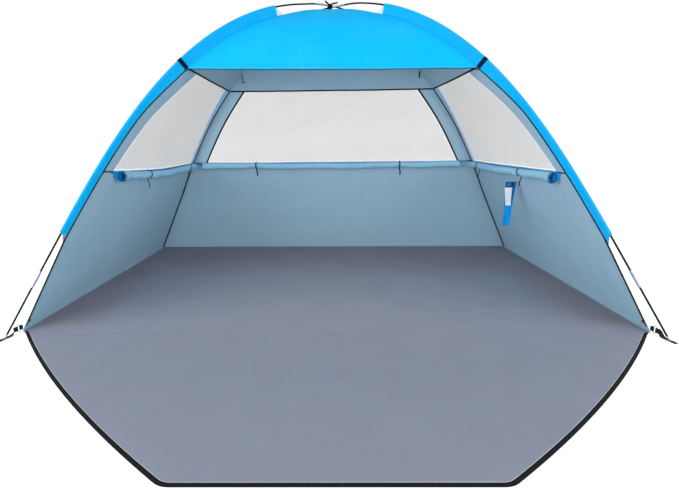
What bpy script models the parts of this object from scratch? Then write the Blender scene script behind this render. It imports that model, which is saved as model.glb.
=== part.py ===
"""Beach tent: two crossed bent poles carry a sewn canopy with mesh windows and a zip-up porch door.

Metres, +Z up. The origin is on the ground under the middle of the door sill, +X runs along the
sill to the right as seen from the front, and +Y runs into the tent.
"""
import math

import bmesh
import bpy
import numpy as np
from mathutils import Vector

# Floor plan
sill_width = 2.410
back_width = 2.240
floor_depth = 1.320
floor_thickness = 0.0015
sill_lap = 0.006

# Clearances
seat_gap = 0.0003
station_margin = 0.00005
cut_overrun = 0.002

# Bent poles: where the feet stand beyond the floor corners, and how the poles bend
front_foot_out = 0.022
front_foot_ahead = 0.075
back_foot_out = 0.030
back_foot_behind = 0.055
foot_angle = math.radians(58.3)
bend_power = 2.25
pole_radius = 0.0035
pole_bore_radius = 0.0020
pole_sides = 8
end_section_length = 0.250
middle_section_count = 6
bends_per_section = 6
ferrule_wall = 0.0009
ferrule_reach = 0.035
shock_cord_radius = 0.00125
crossing_flat = 0.050
crossing_ramp = 0.095

# Pole tips
pin_radius = 0.0020
pin_nose_share = 0.7
pin_start = 0.0018
collar_start = 0.0150
collar_length = 0.0030
plug_length = 0.0120

# Sewn canopy
sheet_thickness = 0.0010
mesh_thickness = 0.0006
front_seam_drop = 0.036
back_seam_drop = 0.020
crossing_seam_drop = 0.0165
sleeve_low_end = 0.430
sleeve_high_end = 1.760
sleeve_wall = 0.0007
sleeve_slack = 0.0001
sleeve_fold_share = 1.05
panel_dip = 0.010
row_spacing = 0.020

# Window rows, as arc lengths from the pole feet, and how far the windows keep from the seams
sill_front_reach = 0.716
sill_back_reach = 0.675
eave_front_reach = 1.252
eave_back_reach = 1.190
back_window_margin = 0.075
side_window_low_lead = 0.062
side_window_high_lead = 0.100
side_window_margin = 0.014
climb_limit_share = 1.4
window_edge_limit_share = 0.45
crown_clear = 0.012
column_count = 6

# Rolled window covers
roll_radius = 0.019
roll_core_radius = 0.005
roll_turns = 2.25
roll_cloth = 0.0015
roll_sag = 0.008
roll_overhang = 0.012
roll_corner_clear = 0.022
roll_below_sill = 0.018

# Porch door and zips
porch_length = 0.8025
porch_front_width = 0.774
porch_front_shift = 0.018
porch_front_skew = 0.013
porch_bulge = 0.034
door_thickness = 0.0012
door_corner_clear = 0.010
zip_width = 0.012
zip_thickness = 0.0010
coil_width = 0.0030
coil_height = 0.0010
coil_place_share = 0.45
frame_zip_width = 0.006
frame_zip_thickness = 0.0012
frame_zip_start = 0.030
header_zip_shares = (0.02, 0.25, 0.50, 0.75, 0.98)

# Zip sliders
slider_length = 0.010
slider_wall = 0.0010
slider_reach = 0.0050
slider_start = 0.050
bail_width = 0.0016
bail_height = 0.0036
bail_length = 0.0070
bail_wire = 0.0012
tab_width = 0.0050
tab_length = 0.0240
tab_thickness = 0.0010
tab_rim = 0.0012

# Corner webbing and rings
webbing_width = 0.018
webbing_thickness = 0.0012
ring_wire_radius = 0.0013
ring_height = 0.030
ring_depth = 0.014
corner_loop_length = 0.010
webbing_fold_back = 0.014
strap_tail = 0.026
ground_clear = 0.0004
eyelet_radius = 0.0042

# Crossing tie
tie_radius = 0.0013
tie_pitch = 0.0036
tie_turns = 2
tie_slack = 0.0007
tie_squareness_share = 0.75
bow_length = 0.026
bow_width = 0.012
bow_rise = 0.008

# Hanging strip and lamp hooks
strip_width = 0.060
strip_length = 0.212
strip_thickness = 0.0015
strip_slack = 0.0008
strip_along_wall_share = 0.43
strip_drop_below_sill = 0.080
strip_taper_share = 0.60
strip_end_outer_share = 0.27
strip_end_inner_share = 0.87
clip_width = 0.036
clip_height = 0.024
clip_thickness = 0.005
clip_drop = 0.003
hook_reach = 1.320
lamp_slack = 0.0004
hook_wire_radius = 0.0015
hook_length = 0.034
hook_bend_radius = 0.007
lamp_strap_width = 0.010
lamp_strap_length = 0.034


def clear_scene():
    """Remove what the file held before."""
    for item in list(bpy.data.objects):
        bpy.data.objects.remove(item, do_unlink=True)


def make_material(name, colour, roughness, metallic=0.0):
    """One plain finish with a colour, a roughness and a metallic value."""
    material = bpy.data.materials.new(name)
    material.use_nodes = True
    shader = material.node_tree.nodes["Principled BSDF"]
    shader.inputs["Base Color"].default_value = (*colour, 1.0)
    shader.inputs["Roughness"].default_value = roughness
    shader.inputs["Metallic"].default_value = metallic
    return material


# Path along a bent pole


def unit_bend():
    """Half of a pole bent so that its curvature grows with height, from foot to top, in free units."""
    step = 0.001
    angle, run, rise = foot_angle, 0.0, 0.0
    arc, runs, rises = [0.0], [0.0], [0.0]
    while angle > 0.0:
        middle = angle - rise**bend_power * step / 2
        run += math.cos(middle) * step
        rise += math.sin(middle) * step
        angle -= rise**bend_power * step
        arc.append(arc[-1] + step)
        runs.append(run)
        rises.append(rise)
    return np.array(arc), np.array(runs), np.array(rises)


class PolePath:
    """The centre line of one pole as straight chords between stations, mirrored by side.

    Side -1 starts at the front left foot, side +1 at the front right foot. Lift is how far the
    pole rises over the other one where they cross.
    """

    def __init__(self, side, lift):
        front = Vector((side * (sill_width / 2 + front_foot_out), -front_foot_ahead, 0))
        back = Vector((-side * (back_width / 2 + back_foot_out), floor_depth + back_foot_behind, 0))
        span = (back - front).length
        self.front = front
        self.level = (back - front).normalized()
        self.across = Vector((-self.level.y, self.level.x, 0))
        arc, runs, rises = unit_bend()
        scale = span / 2 / runs[-1]
        self.length = 2 * arc[-1] * scale
        self.arc = np.concatenate([arc, 2 * arc[-1] - arc[-2::-1]]) * scale
        self.runs = np.concatenate([runs, 2 * runs[-1] - runs[-2::-1]]) * scale
        self.rises = np.concatenate([rises, rises[-2::-1]]) * scale
        cross_run = span * abs(front.x) / (abs(front.x) + abs(back.x))
        self.crossing = float(np.interp(cross_run, self.runs, self.arc))
        self.lift = lift
        self.middle_length = (self.length - 2 * end_section_length) / middle_section_count
        self.joints = [end_section_length + self.middle_length * k for k in range(middle_section_count + 1)]
        self.stations = self.list_stations()
        self.points = [self.true_point(s) for s in self.stations]

    def list_stations(self):
        """Arc lengths where the chords meet, the same from either foot."""
        bend = self.middle_length / bends_per_section
        count = middle_section_count * bends_per_section
        middle = [end_section_length + bend * k for k in range(count + 1)]
        half = end_section_length / 2
        return [0.0, half, *middle, self.length - half, self.length]

    def true_point(self, s):
        """The point at arc length s, raised or lowered near the crossing."""
        run = float(np.interp(s, self.arc, self.runs))
        rise = float(np.interp(s, self.arc, self.rises))
        away = max(0.0, abs(s - self.crossing) - crossing_flat)
        ease = (1 + math.cos(math.pi * min(1.0, away / crossing_ramp))) / 2
        return self.front + self.level * run + Vector((0, 0, rise + self.lift * ease))

    def frame(self, s):
        """Point on the chords at s, with the pole's direction and its inward and sideways normals."""
        stations, points = self.stations, self.points
        near = min(range(len(stations)), key=lambda k: abs(stations[k] - s))
        if abs(stations[near] - s) < station_margin and 0 < near < len(stations) - 1:
            before = (points[near] - points[near - 1]).normalized()
            after = (points[near + 1] - points[near]).normalized()
            point, along = points[near].copy(), (before + after).normalized()
        else:
            k = min(max(int(np.searchsorted(stations, s)) - 1, 0), len(stations) - 2)
            share = (s - stations[k]) / (stations[k + 1] - stations[k])
            point = points[k].lerp(points[k + 1], share)
            along = (points[k + 1] - points[k]).normalized()
        inward = along.cross(self.across).normalized()
        if inward.z > 0:
            inward = -inward
        return point, along, inward, self.across

    def between(self, start, end):
        """Stations from start to end, with both ends."""
        inner = [s for s in self.stations if start + station_margin < s < end - station_margin]
        return [start, *inner, end]


# Mesh helpers


def ring_points(centre, first, second, radius, sides):
    """A round ring of points."""
    turns = [2 * math.pi * k / sides for k in range(sides)]
    return [centre + (first * math.cos(turn) + second * math.sin(turn)) * radius for turn in turns]


def loft(rings, joined=False):
    """Mesh through rings of equal count, with capped ends or with the last ring joined to the first."""
    mesh = bmesh.new()
    loops = [[mesh.verts.new(point) for point in ring] for ring in rings]
    count = len(rings[0])
    pairs = list(zip(loops, loops[1:]))
    if joined:
        pairs.append((loops[-1], loops[0]))
    for low, high in pairs:
        for k in range(count):
            nxt = (k + 1) % count
            mesh.faces.new((low[k], low[nxt], high[nxt], high[k]))
    if not joined:
        mesh.faces.new(loops[0])
        mesh.faces.new(loops[-1])
    return mesh


def finish_mesh(mesh, name, material, smooth_angle=None):
    """Turn a bmesh into a named object with its faces pointing out."""
    bmesh.ops.recalc_face_normals(mesh, faces=mesh.faces)
    data = bpy.data.meshes.new(name)
    mesh.to_mesh(data)
    mesh.free()
    if smooth_angle is not None:
        data.shade_smooth()
        data.set_sharp_from_angle(angle=smooth_angle)
    item = bpy.data.objects.new(name, data)
    data.materials.append(material)
    bpy.context.collection.objects.link(item)
    return item


def set_origin(item, origin):
    """Move an object's origin to a point without moving its shape."""
    offset = Vector(origin)
    for vertex in item.data.vertices:
        vertex.co -= offset
    item.location = offset


def apply_shape(body, shape, operation):
    """Join a shape to a body or cut it out, and keep the shape itself out of the model."""
    change = body.modifiers.new(shape.name, "BOOLEAN")
    change.operation = operation
    change.object = shape
    shape.hide_render = True
    shape.display_type = "WIRE"


def sheet_from_grid(name, grid, thickness, material, is_open=None):
    """A thin sheet centred on a grid of points, leaving out the cells for which is_open is true."""
    mesh = bmesh.new()
    verts = [[mesh.verts.new(point) for point in row] for row in grid]
    for i in range(len(grid) - 1):
        for j in range(len(grid[0]) - 1):
            if is_open and is_open(i, j):
                continue
            mesh.faces.new((verts[i][j], verts[i][j + 1], verts[i + 1][j + 1], verts[i + 1][j]))
    loose = [v for v in mesh.verts if not v.link_faces]
    bmesh.ops.delete(mesh, geom=loose, context="VERTS")
    item = finish_mesh(mesh, name, material, math.radians(40))
    solid = item.modifiers.new("cloth", "SOLIDIFY")
    solid.thickness = thickness
    solid.offset = 0
    solid.use_even_offset = True
    return item


def band_rings(stations, width, thickness):
    """Rings of a flat band from (point, width direction, thickness direction) stations."""
    rings = []
    for point, wide, thick in stations:
        out, up = wide * width / 2, thick * thickness / 2
        rings.append([point + out + up, point - out + up, point - out - up, point + out - up])
    return rings


# Pole pieces


def tube_between(path, outer, inner):
    """A hollow tube along a pole, from (arc length, radius) profiles of its outside and its bore."""
    rings = []
    for s, radius in outer + inner[::-1]:
        point, _, inward, across = path.frame(s)
        rings.append(ring_points(point, inward, across, radius, pole_sides))
    return loft(rings, joined=True)


def rod_between(path, profile, sides):
    """A solid rod along a pole from an (arc length, radius) profile."""
    rings = []
    for s, radius in profile:
        point, _, inward, across = path.frame(s)
        rings.append(ring_points(point, inward, across, radius, sides))
    return loft(rings)


def tube_start():
    """Arc length where the first tube begins, just above the tip's collar."""
    return collar_start + collar_length + seat_gap


def ferrule_radius():
    """Outer radius of the ferrules that join the sections."""
    return pole_radius + seat_gap + ferrule_wall


def build_sections(path, name, material):
    """Fibreglass sections, each with the steel ferrule glued on its far end."""
    socket_radius = (pole_radius + seat_gap) / math.cos(math.pi / pole_sides)
    ends = [tube_start(), *path.joints, path.length - tube_start()]
    sections = len(ends) - 1
    for k in range(sections):
        start = ends[k] + (2 * seat_gap if k else 0)
        joint = ends[k + 1]
        if k == sections - 1:
            line = path.between(start, ends[k + 1])
            outer = [(s, pole_radius) for s in line]
            inner = [(s, pole_bore_radius) for s in line]
        else:
            ferrule_start = ends[k + 1] - ferrule_reach
            ferrule_end = ends[k + 1] + ferrule_reach
            outer = [(s, pole_radius) for s in path.between(start, ferrule_start)]
            outer += [(s, ferrule_radius()) for s in path.between(ferrule_start, ferrule_end)]
            inner = [(s, pole_bore_radius) for s in path.between(start, joint)]
            inner += [(s, socket_radius) for s in path.between(joint, ferrule_end)]
        mesh = tube_between(path, outer, inner)
        finish_mesh(mesh, f"{name}_section_{k + 1}", material, math.radians(50))


def build_shock_cord(path, name, material):
    """Elastic cord that runs through all the sections of a pole."""
    start = collar_start + collar_length + plug_length + seat_gap
    line = [(s, shock_cord_radius) for s in path.between(start, path.length - start)]
    finish_mesh(rod_between(path, line, 6), name, material, math.radians(70))


def build_tip(path, name, material, at_back):
    """Turned end pin with a collar and a plug in the tube's bore."""
    collar_end = collar_start + collar_length
    plug_radius = pole_bore_radius * math.cos(math.pi / pole_sides) - seat_gap
    profile = [
        (pin_start, pin_radius * pin_nose_share),
        (pin_start + pin_radius / 2, pin_radius),
        (collar_start, pin_radius),
        (collar_start, pole_radius),
        (collar_end, pole_radius),
        (collar_end, plug_radius),
        (collar_end + plug_length, plug_radius),
    ]
    if at_back:
        profile = [(path.length - s, radius) for s, radius in profile]
    finish_mesh(rod_between(path, profile, pole_sides), name, material, math.radians(40))


# Canopy seams: the lines under the poles where the panels are sewn together


def seam_drop(s, top, drop):
    """How far below the pole the seam runs at arc length s from the foot, up to top at the crossing."""
    share = min(1.0, max(0.0, (s - sleeve_high_end) / (top - sleeve_high_end)))
    ease = share * share * (3 - 2 * share)
    return drop + (crossing_seam_drop - drop) * ease


class Seam:
    """One of the four seams, from a floor corner up to the crossing.

    Side and is_front pick the leg. The seam is straight from the floor corner to the sleeve's low
    end and follows the pole's chords above it.
    """

    def __init__(self, side, is_front):
        self.path = PolePath(side if is_front else -side, 0)
        self.is_front = is_front
        if is_front:
            self.corner = Vector((side * sill_width / 2, 0, seam_foot_height()))
            self.top = self.path.crossing
            self.drop = front_seam_drop
        else:
            self.corner = Vector((side * back_width / 2, floor_depth, seam_foot_height()))
            self.top = self.path.length - self.path.crossing
            self.drop = back_seam_drop
        stations = [s for s in self.path.stations if sleeve_low_end + seat_gap < s < self.top]
        self.bends = sorted([*stations, sleeve_high_end])
        self.knots = [(0.0, self.corner), (sleeve_low_end, self.on_pole(sleeve_low_end))]
        self.knots += [(s, self.on_pole(s)) for s in self.bends]
        self.knots.append((self.top, self.on_pole(self.top)))

    def on_pole(self, s):
        """Seam point below the pole at arc length s from this leg's foot."""
        along = s if self.is_front else self.path.length - s
        point, _, inward, _ = self.path.frame(along)
        return point + inward * seam_drop(s, self.top, self.drop)

    def point(self, s):
        """Point on the seam's chords at arc length s."""
        arcs = [knot[0] for knot in self.knots]
        k = min(max(int(np.searchsorted(arcs, s)) - 1, 0), len(arcs) - 2)
        share = (s - arcs[k]) / (arcs[k + 1] - arcs[k])
        return self.knots[k][1].lerp(self.knots[k + 1][1], share)


def seam_foot_height():
    """Height of the panels' lowest edge, just above the floor sheet."""
    return floor_thickness + sheet_thickness / 2 + seat_gap


def edge_trim():
    """How far a panel stops short of the seam line, so that neighbours stay apart."""
    return sheet_thickness / 2 + seat_gap


class Panel:
    """A sewn panel whose rows run straight from one seam to another, with a slight dip.

    A window has a low row, a high row and a function for its two edges along a row.
    """

    def __init__(self, left, right, low=None, high=None, edges=None):
        self.left, self.right = left, right
        self.low, self.high, self.edges = low, high, edges

    def rows(self, start, tops):
        """Pairs of arc lengths on the two seams, from start to near the crossing."""
        shared = min(self.left.top, self.right.top) - crown_clear
        pairs = [(start, start)]
        pairs += [(s, s) for s in (sleeve_low_end, *self.left.bends) if start + seat_gap < s < shared]
        for sill in (self.low, self.high):
            if sill:
                low, high = min(sill) - row_spacing, max(sill) + row_spacing
                pairs = [pair for pair in pairs if not low < pair[0] < high]
                pairs.append(sill)
        return sorted(pairs) + tops

    def point(self, pair, share):
        """Point on the panel between its seams, with the dip and the trimmed edges."""
        a, b = self.left.point(pair[0]), self.right.point(pair[1])
        row = b - a
        trim_share = edge_trim() / row.length
        along = (self.left.point(pair[0] + seat_gap) - a).normalized()
        normal = row.cross(along).normalized()
        across_share = blend(trim_share, 1 - trim_share, share)
        fullness = min(1.0, row.length / self.full_row())
        rise = math.sin(math.pi * min(1.0, pair[0] / self.left.top))
        dip = self.inward_sign(normal) * panel_dip * fullness * rise * math.sin(math.pi * share)
        return a + row * across_share + normal * dip

    def full_row(self):
        """Length of the row at the sleeve's low end."""
        return (self.right.point(sleeve_low_end) - self.left.point(sleeve_low_end)).length

    def inward_sign(self, normal):
        """Plus or minus one, so that the dip goes towards the middle of the tent."""
        middle = Vector((0, floor_depth / 2, 0))
        probe = (self.left.point(sleeve_low_end) + self.right.point(sleeve_low_end)) / 2
        return 1.0 if (middle - probe).dot(normal) > 0 else -1.0

    def columns(self, pair):
        """Shares across a row, with the window's two edges at fixed places in the list."""
        if not self.edges:
            return [k / column_count for k in range(column_count + 1)]
        first, last = self.edges(pair)
        inner = [first + (last - first) * k / column_count for k in range(column_count + 1)]
        return [0.0, *inner, 1.0]

    def grid(self, pairs):
        """Rows of points over the panel."""
        return [[self.point(pair, share) for share in self.columns(pair)] for pair in pairs]


def blend(low, high, share):
    """A value between low and high."""
    return low + (high - low) * share


def side_window_edges(length):
    """Edges of a side window along a row, as shares of the row. Length gives the row's length."""

    def edges(pair):
        climb_share = (pair[1] - sill_back_reach) / (eave_back_reach - sill_back_reach)
        climb_share = min(climb_limit_share, max(1 - climb_limit_share, climb_share))
        lead = blend(side_window_low_lead, side_window_high_lead, climb_share)
        first_share = min(window_edge_limit_share, lead / length(pair))
        last_share = max(1 - window_edge_limit_share, 1 - side_window_margin / length(pair))
        return first_share, last_share

    return edges


def back_window_edges(length):
    """Edges of the back window along a row, as shares of the row. Length gives the row's length."""

    def edges(pair):
        share = min(window_edge_limit_share, back_window_margin / length(pair))
        return share, 1 - share

    return edges


def row_length(left, right):
    """A function that gives the distance between two seams at a row."""
    return lambda pair: (right.point(pair[1]) - left.point(pair[0])).length


def panel_tops(left, right):
    """The last rows of a panel, closing on the crossing."""
    if abs(left.top - right.top) < seat_gap:
        return [(left.top - crown_clear, right.top - crown_clear)]
    extra = [s for s in left.bends if s > right.top - crown_clear]
    count = len(extra) + 1
    last_level = max(s for s in right.bends if s < right.top - crown_clear)
    left_levels = [*extra, left.top - crown_clear]
    step = (right.top - crown_clear - last_level) / count
    return [(left_levels[k], last_level + step * (k + 1)) for k in range(count)]


def build_windowed_panel(panel, name, cloth, net, net_name):
    """A wall panel with its window opening, and the net that fills the opening."""
    pairs = panel.rows(0.0, panel_tops(panel.left, panel.right))
    grid = panel.grid(pairs)
    low, high = pairs.index(panel.low), pairs.index(panel.high)

    def is_open(i, j):
        return low <= i < high and 1 <= j <= column_count

    sheet_from_grid(name, grid, sheet_thickness, cloth, is_open)
    net_pairs = [pairs[i] for i in range(low, high + 1)]
    net_pairs[0] = tuple(s + seat_gap for s in net_pairs[0])
    net_pairs[-1] = tuple(s - seat_gap for s in net_pairs[-1])
    net_grid = []
    for pair in net_pairs:
        shares = panel.columns(pair)[1:-1]
        trim_share = seat_gap / (panel.right.point(pair[1]) - panel.left.point(pair[0])).length
        shares[0] += trim_share
        shares[-1] -= trim_share
        net_grid.append([panel.point(pair, share) for share in shares])
    sheet_from_grid(net_name, net_grid, mesh_thickness, net)


def build_roof_front(panel, name, cloth):
    """The blue panel between the front legs, from the header up to the crossing."""
    pairs = panel.rows(eave_front_reach, panel_tops(panel.left, panel.right))
    sheet_from_grid(name, panel.grid(pairs), sheet_thickness, cloth)


# Pole sleeves


def sleeve_section(s, path, from_back, drop, top):
    """Section of a folded sleeve: two layers from the seam, round the pole and back."""
    bore = (ferrule_radius() + sleeve_slack) / math.cos(math.pi / pole_sides) + seat_gap
    point, _, inward, across = path.frame(path.length - s if from_back else s)
    tip = seam_drop(s, top, drop) - edge_trim()
    fold = bore * sleeve_fold_share
    slit = seat_gap / 2
    outside = slit + sleeve_wall

    def place(radius, turn):
        angle = turn * 2 * math.pi
        return point + inward * (radius * math.cos(angle)) + across * (radius * math.sin(angle))

    turns = [(k + 3 / 4) / (pole_sides + 1 / 2) for k in range(pole_sides)]
    ring = [point + inward * tip + across * outside]
    ring += [place(bore + sleeve_wall, turn) for turn in turns]
    ring.append(point + inward * tip - across * outside)
    ring.append(point + inward * tip - across * slit)
    ring.append(point + inward * fold - across * slit)
    ring += [place(bore, turn) for turn in reversed(turns)]
    ring.append(point + inward * fold + across * slit)
    ring.append(point + inward * tip + across * slit)
    return ring


def build_sleeve(path, seam, name, from_back, cloth):
    """Folded fabric sleeve over one leg, sewn to the canopy along the seam."""
    levels = [sleeve_low_end, *[s for s in seam.bends if s <= sleeve_high_end]]
    rings = [sleeve_section(s, path, from_back, seam.drop, seam.top) for s in levels]
    finish_mesh(loft(rings), name, cloth, math.radians(50))


# Floor, door and zips


def build_floor(material):
    """Flat floor sheet, a trapezium that narrows towards the back."""
    front, back = sill_width / 2, back_width / 2
    outline = [(-front, -sill_lap), (front, -sill_lap), (back, floor_depth), (-back, floor_depth)]
    return flat_sheet(outline, floor_thickness, "floor_sheet", material)


def flat_sheet(outline, thickness, name, material):
    """A flat sheet that lies on the ground with the given outline."""
    mesh = bmesh.new()
    face = mesh.faces.new([mesh.verts.new((x, y, 0)) for x, y in outline])
    made = bmesh.ops.extrude_face_region(mesh, geom=[face])
    raised = [item for item in made["geom"] if isinstance(item, bmesh.types.BMVert)]
    bmesh.ops.translate(mesh, vec=(0, 0, thickness), verts=raised)
    return finish_mesh(mesh, name, material)


def door_edge():
    """Where the door begins, just ahead of the floor sheet's lap at the sill."""
    return -sill_lap - seat_gap


def porch_corner(side):
    """Front corner of the porch, a little further right and further ahead on the left."""
    across = side * porch_front_width / 2 + porch_front_shift
    return Vector((across, side * porch_front_skew / 2 - porch_length, 0))


def porch_side(side, inset):
    """Points of one porch edge from the sill to the front corner, drawn in by inset."""
    start = Vector((side * (sill_width / 2 - door_corner_clear), door_edge(), 0))
    end = porch_corner(side)
    chord = end - start
    radius = (chord.length**2 / 4 + porch_bulge**2) / (2 * porch_bulge)
    outward = Vector((chord.y, -chord.x, 0)).normalized() * -side
    if outward.x * side < 0:
        outward = -outward
    centre = (start + end) / 2 - outward * (radius - porch_bulge)
    half_angle = math.asin(chord.length / 2 / radius)
    along = chord.normalized()
    points = []
    steps = 12
    for k in range(steps + 1):
        angle = -half_angle + 2 * half_angle * k / steps
        points.append(centre + (outward * math.cos(angle) + along * math.sin(angle)) * (radius - inset))
    return points


def porch_outline(inset):
    """Open outline of the porch from its left sill corner round the front to the right one."""
    left = trim_side(porch_side(-1, inset), inset)
    right = trim_side(porch_side(1, inset), inset)
    return left + right[::-1]


def trim_side(points, inset):
    """End the drawn-in edge on the sill line and on the front line drawn in by inset."""
    front_edge = porch_corner(1) - porch_corner(-1)
    inward = Vector((-front_edge.y, front_edge.x, 0)).normalized()
    points = [p.copy() for p in points]
    points[-1] = meet_line(points[-2], points[-1], porch_corner(1) + inward * inset, inward)
    points[0] = meet_line(points[1], points[0], Vector((0, door_edge(), 0)), Vector((0, 1, 0)))
    return points


def meet_line(inner, outer, base, normal):
    """Where the line through two points meets the line through base that is square to normal."""
    share = (base - inner).dot(normal) / (outer - inner).dot(normal)
    return inner.lerp(outer, share)


def build_door(material):
    """Porch flap that lies in front of the sill and zips up as the door."""
    outline = [(p.x, p.y) for p in porch_outline(zip_width)]
    item = flat_sheet(outline, door_thickness, "door_sheet", material)
    set_origin(item, door_axis())
    return item


def door_axis():
    """A point on the door's fold line, at the top of the sill seam."""
    return Vector((0, door_edge() + seat_gap / 2, floor_thickness))


def build_door_zip(material):
    """Zip tape with its coil round the free edge of the door."""
    outer = porch_outline(0)
    inner = porch_outline(zip_width - seat_gap)
    low_share = coil_place_share - coil_width / zip_width / 2
    high_share = coil_place_share + coil_width / zip_width / 2
    top = Vector((0, 0, zip_thickness))
    crest = Vector((0, 0, zip_thickness + coil_height))
    rings = []
    for a, b in zip(outer, inner):
        low_coil, high_coil = a.lerp(b, low_share), a.lerp(b, high_share)
        ring = [a, a + top, low_coil + top, low_coil + crest]
        ring += [high_coil + crest, high_coil + top, b + top, b]
        rings.append(ring)
    item = finish_mesh(loft(rings), "door_zip", material)
    set_origin(item, door_axis())
    return item


def frame_zip_stations(seam, start):
    """Points and directions of the zip tape along one front edge, from start up to the header."""
    high = eave_front_reach - frame_zip_width
    levels = [start, sleeve_low_end, *[s for s in seam.bends if sleeve_low_end < s < high]]
    side = 1 if seam.corner.x > 0 else -1
    stations = []
    for s in levels:
        point = seam.point(s)
        along = (seam.point(s + seat_gap) - seam.point(s - seat_gap)).normalized()
        wide = Vector((-side, 0, 0))
        wide = (wide - along * wide.dot(along)).normalized()
        thick = along.cross(wide).normalized()
        stations.append((point + wide * (edge_trim() + frame_zip_width / 2), wide, thick))
    return stations


def build_frame_zip(left, right, material):
    """Zip tape round the doorway: up one front edge, along the header and down the other."""
    up = frame_zip_stations(left, frame_zip_start)
    down = [(p, -wide, thick) for p, wide, thick in frame_zip_stations(right, frame_zip_start)[::-1]]
    roof = Panel(left, right)
    row = (eave_front_reach, eave_front_reach)
    lean = (left.point(eave_front_reach + seat_gap) - left.point(eave_front_reach)).normalized()
    lower = Vector((0, -lean.y, -lean.z)).normalized()
    ahead = Vector((1, 0, 0)).cross(lower)
    level = lower * (frame_zip_width / 2 + seat_gap)
    header = [(roof.point(row, share) + level, lower, ahead) for share in header_zip_shares]
    rings = band_rings(up + header + down, frame_zip_width, frame_zip_thickness)
    return finish_mesh(loft(align_rings(rings)), "doorway_zip", material)


def align_rings(rings):
    """Turn each ring's start so that it lies nearest to the ring before it."""
    aligned = [rings[0]]
    for ring in rings[1:]:
        last = aligned[-1]
        options = []
        for turned in (ring, ring[::-1]):
            for k in range(len(ring)):
                shifted = turned[k:] + turned[:k]
                options.append((sum((p - q).length for p, q in zip(shifted, last)), shifted))
        aligned.append(min(options, key=lambda option: option[0])[1])
    return aligned


def slider_frame(seam):
    """Place and directions of a zip slider on the straight low part of a front edge."""
    side = 1 if seam.corner.x > 0 else -1
    point = seam.point(slider_start)
    along = (seam.point(sleeve_low_end) - seam.point(0)).normalized()
    wide = Vector((-side, 0, 0))
    wide = (wide - along * wide.dot(along)).normalized()
    ahead = along.cross(wide).normalized()
    if ahead.y > 0:
        ahead = -ahead
    tip = point + wide * (edge_trim() + frame_zip_width)
    return tip, along, wide, ahead


def build_slider(seam, name, material):
    """Slider that grips the edge of the zip tape from both sides, with the bail for its tab."""
    tip, along, wide, ahead = slider_frame(seam)
    half_tape = frame_zip_thickness / 2 + seat_gap
    half_body = half_tape + slider_wall
    back = -slider_reach + seat_gap
    shape = [
        (back, half_tape),
        (seat_gap, half_tape),
        (seat_gap, -half_tape),
        (back, -half_tape),
        (back, -half_body),
        (seat_gap + slider_wall, -half_body),
        (seat_gap + slider_wall, half_body),
        (back, half_body),
    ]
    half = along * slider_length / 2
    rings = []
    for end in (-half, half):
        rings.append([tip + wide * a + ahead * b + end for a, b in shape])
    body = finish_mesh(loft(rings), name, material)
    foot = tip + wide * (back / 2) + ahead * (half_body - cut_overrun / 4)
    bail = bail_mesh(foot, along, wide, ahead)
    apply_shape(body, finish_mesh(bail, f"{name}_bail_shape", material), "UNION")
    return body


def bail_mesh(foot, along, wide, ahead):
    """A small arch over the slider, standing on two feet in line with the zip."""
    outer_half = bail_length / 2
    inner_half = outer_half - bail_wire
    top = bail_height + cut_overrun / 4
    shape = [
        (-outer_half, 0),
        (-outer_half, top),
        (outer_half, top),
        (outer_half, 0),
        (inner_half, 0),
        (inner_half, top - bail_wire),
        (-inner_half, top - bail_wire),
        (-inner_half, 0),
    ]
    rings = []
    for end in (-bail_width / 2, bail_width / 2):
        rings.append([foot + along * a + ahead * b + wide * end for a, b in shape])
    return loft(rings)


def tab_axis(seam):
    """Middle of the bail's bar, where the pull tab hangs, and the axis across the zip."""
    tip, along, wide, ahead = slider_frame(seam)
    back = -slider_reach + seat_gap
    half_body = frame_zip_thickness / 2 + seat_gap + slider_wall
    bar = half_body + bail_height - bail_wire - tab_thickness
    return tip + wide * (back / 2) + ahead * bar, along, wide, ahead


def build_tab(seam, name, material):
    """Pull tab with the hole that the bail passes through."""
    pivot, along, wide, ahead = tab_axis(seam)
    hole_half = bail_width / 2 + seat_gap
    hole_low = -math.hypot(bail_length / 2, bail_height) - seat_gap
    xs = [-tab_width / 2, -hole_half, hole_half, tab_width / 2]
    zs = [tab_rim / 2, -tab_rim / 2, hole_low, -tab_length]
    grid = [[pivot + wide * x + along * z for x in xs] for z in zs]
    item = sheet_from_grid(name, grid, tab_thickness, material, lambda i, j: i == 1 and j == 1)
    set_origin(item, pivot)
    return item


# Corner rings and webbing


def corner_frame(corner, foot):
    """Directions from a floor corner out to the pole's foot and across it."""
    out = Vector((foot.x - corner.x, foot.y - corner.y, 0))
    reach = out.length
    out.normalize()
    return out, Vector((-out.y, out.x, 0)), reach


def ring_centre_reach():
    """Distance from the floor corner to the middle of the ring."""
    return corner_loop_length + ring_depth / 2


def build_ring(corner, foot, name, material):
    """Steel ring on edge between the corner loop and the foot strap."""
    out, across, _ = corner_frame(corner, foot)
    centre = corner + out * ring_centre_reach()
    centre.z = ground_clear + ring_height / 2 + ring_wire_radius
    up = Vector((0, 0, 1))
    bend = ring_depth / 2 - ring_wire_radius
    rise = ring_height / 2 - bend
    rings = []
    steps = 3
    for quadrant in range(4):
        middle = centre + up * (rise if quadrant < 2 else -rise)
        for k in range(steps + 1):
            angle = math.pi / 2 * (quadrant + k / steps)
            spoke = out * math.cos(angle) + up * math.sin(angle)
            rings.append(ring_points(middle + spoke * bend, spoke, across, ring_wire_radius, 6))
    return finish_mesh(loft(rings, joined=True), name, material, math.radians(70))


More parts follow.
